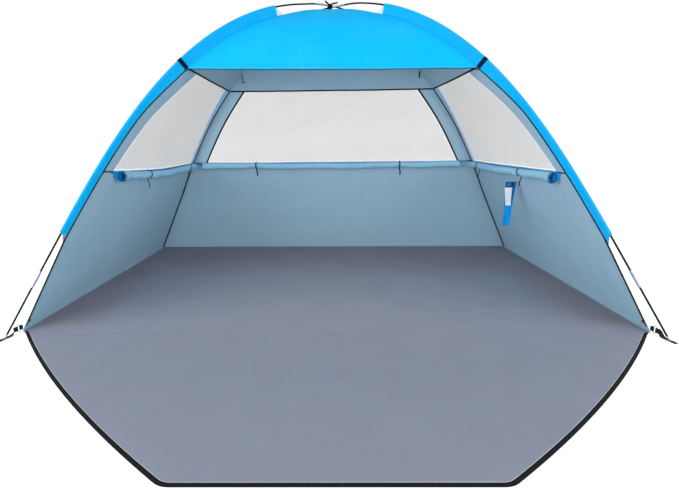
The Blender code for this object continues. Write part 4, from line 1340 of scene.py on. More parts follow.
@dataclass
class Canopy(SubAssembly):
    """The sewn sheets, nets, seam tapes and sleeves."""

    cell: float = 0.020
    net_thickness: float = 0.0003
    tape_width: float = 0.008
    tape_thickness: float = 0.0012
    tape_crown: float = 0.0003
    window_tape: float = 0.009
    corner_tape: float = 0.025
    ceiling_tape: float = 0.012
    sleeve_radius: float = 0.0072
    sleeve_wall: float = 0.0006
    seam_lap: float = 0.0014
    seam_half: float = 0.0011
    pucker: float = 0.0007
    pucker_pitch: float = 0.031
    hem_width: float = 0.022
    band_width: float = 0.018
    binding: float = 0.008
    back_binding: float = 0.012
    binding_thickness: float = 0.0008

    def __post_init__(self) -> None:
        """Sets out the four seams and the four sheets."""
        self.seams = {
            f"{end}_{side.name.lower()}": SeamLine(side.value, end == "front")
            for end in ("front", "back")
            for side in Side
        }
        self.front_top = self.seams["front_left"].top - SIZES.crown_clear / 2
        back_top = self.seams["back_left"].top - SIZES.crown_clear / 2
        self.marks = {
            "left": (SIZES.sill_left, SIZES.eave_left, self.front_top),
            "right": (SIZES.sill_right, SIZES.eave_right, self.front_top),
            "back": (SIZES.sill_back, SIZES.eave_back, back_top),
        }
        self.gores = {}
        sides = (("left", SIZES.left_lead, 3, 0.014), ("right", SIZES.right_lead, 8, -0.004))
        for name, leads, seed, sag in sides:
            low = (SIZES.sleeve_low, SIZES.sleeve_low)
            knots = [(0.0, 0.0), low, *zip(self.marks[name], self.marks["back"])]
            seams = (self.seams[f"front_{name}"], self.seams[f"back_{name}"])
            self.gores[name] = Gore(*seams, knots, side_edges(leads), seed, (self.marks[name][0], sag))
        knots = [(0.0, 0.0), (back_top, back_top)]
        self.gores["back"] = Gore(self.seams["back_left"], self.seams["back_right"], knots, back_edges, 5)
        knots = [(0.0, 0.0), (SIZES.eave_left, SIZES.eave_right), (self.front_top, self.front_top)]
        self.gores["roof"] = Gore(self.seams["front_left"], self.seams["front_right"], knots, None, 12)

    def rows(self, *marks: float) -> Array:
        """Row places that include every mark, about one cell apart."""
        steps = [(a, b, max(1, round((b - a) / self.cell))) for a, b in zip(marks, marks[1:])]
        return np.concatenate([*(np.linspace(*step, endpoint=False) for step in steps), [marks[-1]]])

    def grid(
        self, gore: Gore, rows: Array, marks: Sequence[Array], counts: Sequence[int]
    ) -> tuple[Array, Array, Array]:
        """Points, outward directions and surface coordinates of a sheet.

        Args:
            gore: The sheet's form.
            rows: Row places.
            marks: Shares across each row that columns pass through.
            counts: Number of cells between the marks.

        Returns:
            Three grids.
        """
        shares = []
        for low, high, count in zip(marks, marks[1:], counts):
            shares += [blend(low, high, k / count) for k in range(count)]
        share = np.stack([*shares, marks[-1]], -1)
        a = np.broadcast_to(rows[:, None], share.shape)
        uv = np.stack([(share - 0.5) * gore.row_length(rows)[:, None], a], -1)
        return gore.surface(a, share), -gore.normal(a, share), uv

    def build(self, poles: Poles) -> None:
        """Builds the whole canopy.

        Args:
            poles: The poles, which the sleeves go round.
        """
        for name in ("left", "right", "back"):
            self.build_wall(name)
        self.build_roof()
        self.build_tapes()
        self.build_sleeves(poles)

    def build_wall(self, name: str) -> None:
        """Builds one wall, its net and the net's white edging.

        Args:
            name: left, right or back.
        """
        gore, (sill, eave, top) = self.gores[name], self.marks[name]
        rows = self.rows(0.0, sill, eave, top)
        first, last = gore.spans(rows)
        zero = np.zeros_like(first)
        counts = (5, 84, 5) if name == "back" else (5, 56, 2)
        points, normals, uv = self.grid(gore, rows, (zero, first, last, zero + 1), counts)
        low, high = (int(np.argmin(abs(rows - mark))) for mark in (sill, eave))
        keep = np.ones((len(rows) - 1, sum(counts)), bool)
        keep[low:high, counts[0] : counts[0] + counts[1]] = False
        cloths = self.finishes.pick("sky_cloth", "silver_lining", "navy_tape")
        wall = shell(f"{name}_wall", points, normals, SIZES.cloth, uv, cloths, keep)
        ride(wall, "tent", "silvered_cloth", f"{name}_wall_panel")
        size = (float(gore.row_length(np.array(0.0))), float(top))
        rows = self.rows(sill + self.binding, eave)
        first, last = gore.spans(rows)
        lap = self.binding / gore.row_length(rows)
        points, normals, uv = self.grid(gore, rows, (first + lap, last - lap), counts[1:2])
        net = shell(f"{name}_net", points, normals, self.net_thickness, uv, self.finishes.pick("window_net"))
        ride(net, "tent", "pale_net", f"{name}_window_net")
        size = (float(gore.row_length(np.array(sill))), eave - sill)
        self.build_net_edging(name)

    def sew(
        self, name: str, gore: Gore, a: Array | float, share: Array, lift: float, shape: Array,
        finish: str, slot: str,
    ) -> None:
        """Builds a strip sewn along a line of a sheet.

        Args:
            name: Name of the piece.
            gore: The sheet's form.
            a: Row places, or one for the whole line.
            share: Places across the rows.
            lift: How far it lies inside the sheet's middle, or outside when negative.
            shape: Its cross-section.
            finish: Name of its finish.
            slot: Handed on to sweep.
        """
        up = gore.normal(a, share) * (-1 if lift < 0 else 1)
        self.sweep(name, gore.place(a, share, lift), up, shape, finish, slot)

    def build_net_edging(self, name: str) -> None:
        """Builds the sheer white binding along the net's bottom and its sides.

        Args:
            name: left, right or back.
        """
        gore, (sill, eave, _) = self.gores[name], self.marks[name]
        half, sheer = self.binding / 2, "sheer_binding"
        rows = self.rows(sill + self.binding, eave - 0.004)
        first, last = gore.spans(rows)
        length = gore.row_length(rows)
        across = np.linspace(*(float(end[0]) for end in gore.spans(np.array([sill + half]))), 60)
        wide, hem = (self.binding, sheer) if name == "back" else (self.back_binding, "white_hem")
        lines = {
            "bottom": (sill + half, across, 0.0, self.binding, sheer),
            "front": (rows, first + half / length, 0.0, self.binding, sheer),
            "end": (rows, last - wide / 2 / length, 0.0010, wide, hem),
        }
        for part, (a, share, lift, width, finish) in lines.items():
            shape = flat_profile(width, self.binding_thickness)
            self.sew(f"{name}_net_{part}_edging", gore, a, share, lift, shape, finish, "pale_net")

    def build_roof(self) -> None:
        """Builds the blue sheet over the door, with its turned hem and side seams."""
        gore = self.gores["roof"]
        rows = self.rows(SIZES.eave_left, self.front_top)
        zero = np.zeros_like(rows)
        points, normals, uv = self.grid(gore, rows, (zero, zero + 1), (64,))
        cloths = self.finishes.pick("sky_cloth", "silver_lining", "sky_cloth")
        roof = shell("roof_front", points, normals, SIZES.cloth, uv, cloths)
        ride(roof, "tent", "blue_cloth", "roof_front_panel")
        size = (float(gore.row_length(rows[:1])[0]), float(rows[-1] - rows[0]))
        share, shape = np.linspace(0.004, 0.996, 90), flat_profile(self.hem_width, 0.0008)
        level = SIZES.eave_left + self.hem_width / 2
        self.sew("roof_hem", gore, level, share, -0.0009, shape, "sky_hem", "blue_cloth")
        rows, shape = self.rows(SIZES.eave_left + 0.012, SIZES.sleeve_high), flat_profile(0.006, 0.0009)
        for side in Side:
            edge = (1 + side.value) / 2 - side.value * 0.005 / gore.row_length(rows)
            name = f"roof_{side.name.lower()}_seam"
            self.sew(name, gore, rows, edge, -0.0010, shape, "seam_fold", "blue_cloth")

    def build_tapes(self) -> None:
        """Builds the tapes inside along the eaves, the sills, the windows and the corner seams."""
        lift = SIZES.cloth / 2 + self.tape_thickness / 2 + 0.0002
        for name in ("left", "right", "back"):
            gore, (sill, eave, top) = self.gores[name], self.marks[name]
            rows = self.rows(sill, eave)
            first, last = gore.spans(rows)
            length, low = gore.row_length(rows), sill - 0.004
            lines = {
                "eave_tape": (eave + 0.003, np.linspace(0.002, 0.998, 80), self.tape_width),
                "sill_front_tape": (low, np.linspace(0.002, first[0], 12), self.tape_width * 0.7),
                "sill_end_tape": (low, np.linspace(last[0], 0.998, 12), self.tape_width * 0.7),
            }
            if name == "back":
                half = self.window_tape / 2 / length
                lines["window_front_tape"] = (rows, first - half, self.window_tape)
                lines["window_end_tape"] = (rows, last + half, self.window_tape)
            else:
                rows = self.rows(0.0, eave)
                share = np.maximum(1 - 0.0115 / gore.row_length(rows), 0.75)
                lines["corner_tape"] = (rows, share, self.corner_tape)
                rows = self.rows(eave + 0.006, top)
                share = 1 - np.minimum(0.25, 0.004 / gore.row_length(rows))
                lines["ceiling_seam"] = (rows, share, self.ceiling_tape)
            for part, (a, share, width) in lines.items():
                shape = flat_profile(width, self.tape_thickness, self.tape_crown)
                finish = "silver_lining" if part == "ceiling_seam" else "navy_tape"
                self.sew(f"{name}_{part}", gore, a, share, lift, shape, finish, "black_webbing")

    def sleeve_rings(
        self, seam: SeamLine, path: PoleArc, stations: Array, swell: float, pucker: float
    ) -> Array:
        """Cross-sections of a folded sleeve.

        Args:
            seam: The seam that it is sewn to.
            path: Its pole's line.
            stations: Arc lengths from the leg's foot.
            swell: How far the rings stand out from the sleeve's face, or in from it when negative.
            pucker: Size of the gathers along the seam.

        Returns:
            Rings of points.
        """
        point, inward = path.frame(stations if seam.is_front else path.length - stations)
        radius, rings, steps = self.sleeve_radius, [], np.linspace(0, 1, 6)
        belly = np.sin(math.pi * steps)
        for k, s in enumerate(stations):
            tip = float(seam.fall(s)) + self.seam_lap
            turn = math.acos(min(0.95, radius / tip))
            start = np.array((tip, self.seam_half))
            touch = np.array((math.cos(turn), math.sin(turn))) * radius
            side = start + (touch - start) * steps[:, None]
            wave = 2 * math.pi / self.pucker_pitch
            gather = pucker * math.sin(s * wave + 2 * math.sin(s * 31)) * belly
            upper = side + np.stack([0 * steps, gather - 0.0004 * belly], -1)
            lower = side * (1, -1) + np.stack([0 * steps, gather + 0.0004 * belly], -1)
            turns = np.linspace(turn, 2 * math.pi - turn, 14)[1:-1]
            arc = np.stack([np.cos(turns), np.sin(turns)], -1) * radius
            profile = np.concatenate([upper, arc, lower[::-1]])
            chord = np.roll(profile, -1, axis=0) - np.roll(profile, 1, axis=0)
            profile = profile + unit(np.stack([chord[:, 1], -chord[:, 0]], -1)) * swell
            rings.append(point[k] + inward[k] * profile[:, :1] + path.across * profile[:, 1:])
        return np.array(rings)

    def build_sleeves(self, poles: Poles) -> None:
        """Builds the pole sleeves with their gussets and the bands at the header.

        Args:
            poles: The poles that they go round.
        """
        legs = {
            "front_left": "pole_left",
            "front_right": "pole_right",
            "back_left": "pole_right",
            "back_right": "pole_left",
        }
        for leg, pole in legs.items():
            seam, path = self.seams[leg], poles.paths[pole]
            start = SIZES.left_sleeve_low if leg == "front_left" else SIZES.sleeve_low
            stations = np.linspace(start, SIZES.sleeve_high, 300)
            outer = self.sleeve_rings(seam, path, stations, 0.0, self.pucker)
            inner = self.sleeve_rings(seam, path, stations, -self.sleeve_wall, self.pucker)
            # The sleeves' outer face takes sky cloth darkened as painted shade.
            cloths = self.finishes.pick("sleeve_cloth", "pale_lining")
            rings = np.concatenate([outer, inner[::-1]])
            sleeve = loft(f"{leg}_sleeve_cloth", rings, cloths, joined=True, sharp=45.0)
            kinds = np.repeat([0] * (len(stations) - 1) + [1] * (len(stations) + 1), outer.shape[1])
            sleeve.data.polygons.foreach_set("material_index", kinds.astype(np.int32))
            ride(sleeve, "tent", "blue_cloth", f"{leg}_sleeve")
            # Left low gussets take silver lining darkened as painted shade, the right ones the sleeve cloth
            # darkened as painted shade.
            cloth = "gusset_shaded_lining" if seam.side < 0 else "sleeve_cloth"
            self.build_gusset(f"{leg}_low_gusset", seam, path, start, -0.034, cloth, "navy_tape")
            top = (SIZES.sleeve_high, 0.032)
            self.build_gusset(f"{leg}_high_gusset", seam, path, *top, "pale_lining", "pale_lining")
            if seam.is_front:
                eave, half = self.marks["left" if seam.side < 0 else "right"][1], self.band_width / 2
                stations = np.linspace(eave - half, eave + half, 5)
                outer = self.sleeve_rings(seam, path, stations, 0.0015, 0.0)
                inner = self.sleeve_rings(seam, path, stations, 0.0004, 0.0)
                rings = np.concatenate([outer, inner[::-1]])
                band = loft(f"{leg}_header_band", rings, self.finishes.pick("navy_band"), joined=True)
                ride(band, "tent", "black_webbing")

    def build_gusset(
        self, name: str, seam: SeamLine, path: PoleArc, end: float, reach: float, finish: str, edging: str
    ) -> None:
        """Builds the small three-cornered piece between a sleeve's end and its seam.

        Args:
            name: Name of the piece.
            seam: The sleeve's seam.
            path: Its pole's line.
            end: Arc length of the sleeve's end.
            reach: How far the piece runs along the seam from there.
            finish: Name of its finish.
            edging: Name of the finish of the binding on its free edge.
        """
        rings = self.sleeve_rings(seam, path, np.array([end, end + reach / 2]), -self.sleeve_wall, 0.0)
        middle = (rings[0][:6] + rings[0][-6:][::-1]) / 2
        far = seam.point(np.array(end + reach))
        grid = np.stack([blend(middle, far, t) for t in np.linspace(0, 0.97, 5)])
        square = unit(np.cross(middle[-1] - middle[0], far - middle[0]))
        uv = np.stack(np.meshgrid(np.linspace(0, 0.03, 6), np.linspace(0, 0.05, 5)), -1)
        ride(shell(name, grid, square, 0.0009, uv, self.finishes.pick(finish)), "tent", "silvered_cloth")
        edge = resample(grid[:, 0] if reach < 0 else grid[:, -1], 0.004)
        shape = flat_profile(0.0028, 0.0012)
        self.sweep(f"{name}_binding", edge, square, shape, edging, "silvered_cloth")


@dataclass
class RolledCover(SubAssembly):
    """A window cover sewn along the sill, rolled up and tied below it."""

    name: str
    gore: Gore
    sill: float
    overhangs: Pair
    flaps: Pair
    ties: Pair
    radius: float = 0.0185
    core: float = 0.0095
    turns: float = 3.25
    cloth: float = 0.0006
    below: float = 0.013
    behind: float = 0.0014
    sag: float = 0.006
    stations: int = 100
    ribbon: Pair = (0.0075, 0.0009)

    def outer(self, shares: Array) -> Array:
        """Outer radius along the roll, drawn in at the ties and looser at its open ends.

        Args:
            shares: Places along the roll from 0 to 1.

        Returns:
            Radii.
        """
        radius = np.full_like(shares, self.radius)
        for tie in self.ties:
            radius -= 0.0032 * np.exp(-(((shares - tie) / 0.03) ** 2))
        open_ends = ease((0.045 - shares) / 0.045) + ease((shares - 0.955) / 0.045)
        wobble = 0.0009 * np.sin(shares * 23 + 1) + 0.0006 * np.sin(shares * 61)
        return radius + 0.0035 * open_ends + wobble

    def centres(self, shares: Array) -> tuple[Array, Array, Array, Array, Array]:
        """Centre line of the roll with its radii and directions.

        Args:
            shares: Places along the roll from 0 to 1.

        Returns:
            Centres, outer radii, and directions along (one for all), down and towards the wall.
        """
        first, last = (float(v[0]) for v in self.gore.spans(np.array([self.sill])))
        at, row = blend(first, last, shares), self.sill - self.below
        point = self.gore.surface(row, at)
        up = unit(self.gore.surface(row + self.below, at) - point)
        ends = self.gore.surface(row, np.array([first, last]))
        along = unit(ends[1] - ends[0])
        wall = -self.gore.normal(row, at)
        down = -unit(up - along * (up @ along)[:, None])
        wall = unit(wall - down * (wall * down).sum(-1)[:, None])
        point = point + along * blend(-self.overhangs[0], self.overhangs[1], shares)[:, None]
        radius, sag = self.outer(shares), self.sag * np.sin(math.pi * shares)
        centre = point - wall * (radius + self.behind)[:, None] + down * (sag + radius - self.radius)[:, None]
        return centre, radius, along, down, wall

    def build(self) -> None:
        """Builds the rolled cloth and its ties."""
        shares = np.linspace(0, 1, self.stations)
        centre, radius, along, down, wall = self.centres(shares)
        steps = np.linspace(0, self.turns, round(self.turns * 22))
        cosine, sine = (wave(2 * math.pi * steps)[:, None] for wave in (np.cos, np.sin))
        rows = []
        for k, share in enumerate(shares):
            spiral_radius = blend(self.core, radius[k], (steps / self.turns) ** 0.9)
            spiral = centre[k] + (cosine * down[k] + sine * wall[k]) * spiral_radius[:, None]
            reach = self.below + self.sag * math.sin(math.pi * share) + (radius[k] - self.radius) - 0.004
            near = np.clip([1 - share / 0.09, 1 - (1 - share) / 0.09], 0.0, 1.0)
            flap = self.flaps[0] * near[0] - self.flaps[1] * near[1]
            loose = np.clip(1 - (self.turns - steps) / 0.25, 0.0, 1.0)
            spiral = spiral - along * (flap * 0.45 * loose)[:, None]
            tail = [
                spiral[-1] - down[k] * reach * t - along * flap * 0.55 * t
                for t in (0.25, 0.5, 0.75, 1.0)
            ]
            rows.append(np.concatenate([spiral, tail]))
        grid = np.array(rows)
        ways = np.gradient(grid, axis=1)
        square = unit(np.cross(ways, along))
        mid = len(steps) // 2
        lead = (square[:, mid] * (grid[:, mid] - centre)).sum(-1)
        normals = square * np.where(lead > 0, 1.0, -1.0)[:, None, None]
        run = np.cumsum(np.linalg.norm(ways, axis=-1), axis=1)
        length = float(np.linalg.norm(centre[-1] - centre[0]))
        uv = np.stack([run, np.broadcast_to(shares[:, None] * length, run.shape)], -1)
        cloths = self.finishes.pick("cover_lining", "cover_face", "cover_face")
        item = shell(f"{self.name}_window_cover", grid, normals, self.cloth, uv, cloths, sharp=60.0)
        ride(item, "tent", "cover_cloth", f"{self.name}_window_roll")
        for number, tie in enumerate(self.ties, 1):
            self.build_tie(number, tie)

    def build_tie(self, number: int, share: float) -> None:
        """Builds the ribbon from the sill round the front of the roll, with a hanging tail.

        Args:
            number: Counts the ties.
            share: Where along the roll it is.
        """
        centre, radius, along, down, wall = self.centres(np.array([share]))
        centre, radius, down, wall = centre[0], float(radius[0]), down[0], wall[0]
        turns = np.radians(np.linspace(-42, 205, 30))[:, None]
        loop = centre - (down * np.cos(turns) + wall * np.sin(turns)) * (radius + 0.0012)
        rise = self.below + self.sag * math.sin(math.pi * share) - 0.001
        top = centre + wall * (radius - 0.001) - down * rise
        line, shape = resample(np.concatenate([[top], loop]), 0.002), flat_profile(*self.ribbon)
        pieces = {"": (line, unit(line - centre))}
        start = centre + down * (radius + 0.0022) - wall * 0.004
        fall = [start, start + down * 0.012 - wall * 0.003 + along * 0.002]
        fall += [start - UP * drop + along * aside for drop, aside in ((0.030, 0.006), (0.046, 0.004))]
        pieces["_tail"] = (curve_through(fall, 24), -wall)
        for part, (line, out) in pieces.items():
            name = f"{self.name}_cover_tie{part}_{number}"
            self.sweep(name, line, out, shape, "tie_ribbon", "black_webbing")


@dataclass
class GroundSheets(SubAssembly):
    """The floor, the porch flap that zips up as the door, and the door's zip."""

    porch_length: float = 0.8025
    porch_width: float = 0.774
    porch_shift: float = 0.018
    porch_skew: float = 0.013
    zip_start: float = 0.0084
    bulge: float = 0.034
    corner_clear: float = 0.010
    corner_round: float = 0.060
    corner_steps: int = 7
    door_thickness: float = 0.0014
    floor_fold: float = 0.0022
    door_fold: float = 0.0016
    hem_inset: float = 0.007
    zip_width: float = 0.0145
    steps: int = 60

    def door_edge(self) -> float:
        """Where the flap begins, just ahead of the floor's lap."""
        return -SIZES.sill_lap - SIZES.gap / 3

    def corner(self, side: int) -> Array:
        """Front corner of the flap."""
        across = side * self.porch_width / 2 + self.porch_shift
        return np.array((across, side * self.porch_skew / 2 - self.porch_length, 0.0))

    def side_line(self, side: int, inset: float) -> Array:
        """One curved edge of the flap from the sill to its rounded front corner.

        Args:
            side: -1 for the left edge, 1 for the right one.
            inset: How far it is drawn in.

        Returns:
            Points of the edge.
        """
        start = np.array((side * (SIZES.sill_width / 2 - self.corner_clear), self.door_edge(), 0.0))
        end = self.corner(side)
        chord = end - start
        length = float(np.linalg.norm(chord))
        radius = (length**2 / 4 + self.bulge**2) / (2 * self.bulge)
        outward = unit(np.array((chord[1], -chord[0], 0.0)))
        outward = outward if outward[0] * side > 0 else -outward
        centre = (start + end) / 2 - outward * (radius - self.bulge)
        half = math.asin(length / 2 / radius)
        turns = np.linspace(-half, half, self.steps + 1)[:, None]
        line = centre + (outward * np.cos(turns) + unit(chord) * np.sin(turns)) * (radius - inset)
        edge = self.corner(1) - self.corner(-1)
        inward = unit(np.array((-edge[1], edge[0], 0.0)))
        line[-1] = self.meet(line[-2], line[-1], self.corner(1) + inward * inset, inward)
        line[0] = self.meet(line[1], line[0], np.array((0.0, self.door_edge(), 0.0)), -AHEAD)
        tip, back, along = line[-1], unit(line[-4] - line[-1]), -side * unit(edge)
        bend = math.acos(float(np.clip(-back @ along, -1.0, 1.0)))
        radius = self.corner_round - inset
        reach = radius * math.tan(bend / 2)
        kept = line[np.linalg.norm(line - tip, axis=1) > reach + 0.004]
        middle = tip + (back + along) / np.linalg.norm(back + along) * radius / math.cos(bend / 2)
        first, last = tip + back * reach - middle, tip + along * reach - middle
        shares = np.linspace(0, 1, self.corner_steps)[:, None]
        arc = (first * np.sin((1 - shares) * bend) + last * np.sin(shares * bend)) / math.sin(bend)
        return np.concatenate([spread(kept, self.steps - self.corner_steps + 1), middle + arc])

    @staticmethod
    def meet(inner: Array, outer: Array, base: Array, normal: Array) -> Array:
        """Where the line through two points meets the line through base that is square to normal."""
        return inner + (outer - inner) * ((base - inner) @ normal) / ((outer - inner) @ normal)

    def waves(self, points: Array, height: float, fade: float) -> Array:
        """Lifts points into soft folds, never below where they lie.

        Args:
            points: Grid of points.
            height: Height of the folds.
            fade: Cells over which they fade in from the grid's edges.

        Returns:
            The lifted grid.
        """
        x, y = points[..., 0], points[..., 1]
        folds = np.sin(5.1 * x + 1.7 * np.sin(3.1 * y + 1.0)) * np.sin(4.3 * y + 1.1 * x)
        folds = folds + 0.5 * np.sin(11 * x - 7 * y + 2.0) * np.sin(3.7 * (x + y))
        rows, cols = np.indices(x.shape)
        edge = np.minimum.reduce([rows, cols, rows.max() - rows, cols.max() - cols]) / fade
        return points + UP * (height * (1 + folds / 1.5) / 2 * ease(edge))[..., None]

    def build(self) -> None:
        """Builds the floor, the flap, the zip round it and the floor's hems."""
        front, back = SIZES.sill_width / 2, SIZES.back_width / 2
        y = np.linspace(-SIZES.sill_lap, SIZES.floor_depth, 70)
        half = np.interp(y, (-SIZES.sill_lap, 0.0, SIZES.floor_depth), (front, front, back))
        x = np.linspace(-1, 1, 121)[None] * half[:, None]
        points = np.stack([x, np.broadcast_to(y[:, None], x.shape), 0 * x + SIZES.floor_thickness / 2], -1)
        points, cloth = self.waves(points, self.floor_fold, 5), self.finishes.pick("floor_cloth")
        floor = shell("floor_cloth_sheet", points, UP, SIZES.floor_thickness, points[..., :2], cloth)
        ride(floor, "tent", "grey_floor", "floor_sheet")
        left, right = (self.side_line(side, self.zip_width)[:, None] for side in (-1, 1))
        t = np.linspace(0, 1, 101)[None, :, None]
        points = left * (1 - t) + right * t + UP * self.door_thickness / 2
        points = self.waves(points, self.door_fold, 4)
        door = shell("door_flap", points, UP, self.door_thickness, points[..., :2], cloth)
        ride(door, "door", "grey_floor", "door_sheet")
        self.build_zip()
        self.build_hems()

    def build_zip(self) -> None:
        """Builds tape and teeth round the flap's free edge."""
        outer, inner = (
            np.concatenate([self.side_line(-1, inset), self.side_line(1, inset)[::-1]])
            for inset in (0.0, self.zip_width)
        )
        for edge in (outer, inner):
            edge[:, 1] = np.minimum(edge[:, 1], -self.zip_start)
        profile = [(0.0, 0.0003), (0.03, 0.0012), (0.12, 0.0016), (0.22, 0.0012), (0.62, 0.0011)]
        profile += [(0.84, 0.0017), (1.0, 0.0015), (1.0, 0.0), (0.0, 0.0)]
        rings = [
            [a + (b - a) * share + UP * height for share, height in profile]
            for a, b in zip(outer, inner)
        ]
        around = np.array([(share - 0.5) * self.zip_width for share, _ in profile] + [-self.zip_width / 2])
        # Strip 5 of the profile, on the tape's top by its inner edge, takes a pale colour as a painted
        # highlight.
        cloths, strips = self.finishes.pick("zip_tape", "zip_painted_highlight"), [0] * 5 + [1] + [0] * 3
        tape = loft("door_zip_tape", np.array(rings), cloths, around, slots=strips, sharp=35.0)
        ride(tape, "door", "zip_tape", "door_zip")
        line = resample(outer + (inner - outer) * 0.42, 0.0030) + UP * 0.0011
        self.teeth("door_zip_teeth", line, UP, (0.0019, 0.0032, 0.0009), "door")

    def build_hems(self) -> None:
        """Builds the turned edges where the walls meet the floor."""
        inset, rise = self.hem_inset, SIZES.floor_thickness + self.floor_fold
        front, back = SIZES.sill_width / 2 - inset, SIZES.back_width / 2 - inset
        deep, shape = SIZES.floor_depth - inset, flat_profile(0.010, 0.0014, 0.0004)
        ends = {"left": (-front, 0.012, -back), "right": (front, 0.012, back), "back": (-back, deep, back)}
        for name, (x, y, far) in ends.items():
            line = np.linspace((x, y, rise), (far, deep, rise), 60)
            finish = "floor_hem" if name == "back" else "silver_lining"
            self.sweep(f"{name}_floor_hem", line, UP, shape, finish, "silvered_cloth")


@dataclass
class DoorwayZip(SubAssembly):
    """Zip round the doorway: up one front edge, along the header and down the other."""

    width: float = 0.0055
    thickness: float = 0.0013
    start: float = 0.030
    lap: float = 0.0008

    def edge(self, seam: SeamLine, stations: Array) -> tuple[Array, Array]:
        """Middle of the tape along a front edge, and the direction that its face looks.

        Args:
            seam: The front seam.
            stations: Arc lengths along it.

        Returns:
            Points and directions.
        """
        along = unit(seam.point(stations + 0.002) - seam.point(stations - 0.002))
        wide = np.array((-float(seam.side), 0.0, 0.0))
        wide = unit(wide - along * (along @ wide)[:, None])
        ahead = unit(np.cross(along, wide))
        ahead = np.where(ahead[:, 1:2] > 0, -ahead, ahead)
        return seam.point(stations) + wide * (self.lap + self.width / 2), ahead

    def build(self, canopy: Canopy) -> None:
        """Builds tape and teeth, and dresses the sliders.

        Args:
            canopy: The canopy, for its seams and header.
        """
        roof = canopy.gores["roof"]
        stations = np.linspace(self.start, SIZES.eave_left - 0.014, 140)
        left, left_face = self.edge(roof.left, stations)
        right, right_face = self.edge(roof.right, roof.partner(stations))
        share = np.linspace(0.018, 0.982, 70)
        header = roof.surface(SIZES.eave_left, share)
        lower = unit(header - roof.surface(SIZES.eave_left + 0.01, share))
        header = header + lower * (self.width / 2 + SIZES.gap)
        line = np.concatenate([left, header, right[::-1]])
        faces = np.concatenate([left_face, -roof.normal(SIZES.eave_left, share), right_face[::-1]])
        shape = flat_profile(self.width, self.thickness)
        self.sweep("doorway_zip_tape", line, faces, shape, "navy_tape", "zip_tape", "doorway_zip")
        fine = resample(line, 0.0030)
        places, knots = np.linspace(0, 1, len(fine)), np.linspace(0, 1, len(faces))
        ups = unit(np.stack([np.interp(places, knots, faces[:, k]) for k in range(3)], -1))
        self.teeth("doorway_zip_teeth", fine + ups * 0.0006, ups, (0.0018, 0.0022, 0.0006), "tent")
        for side in Side:
            for part in ("slider", "tab"):
                self.dress(f"{side.name.lower()}_zip_{part}", "black_plastic")


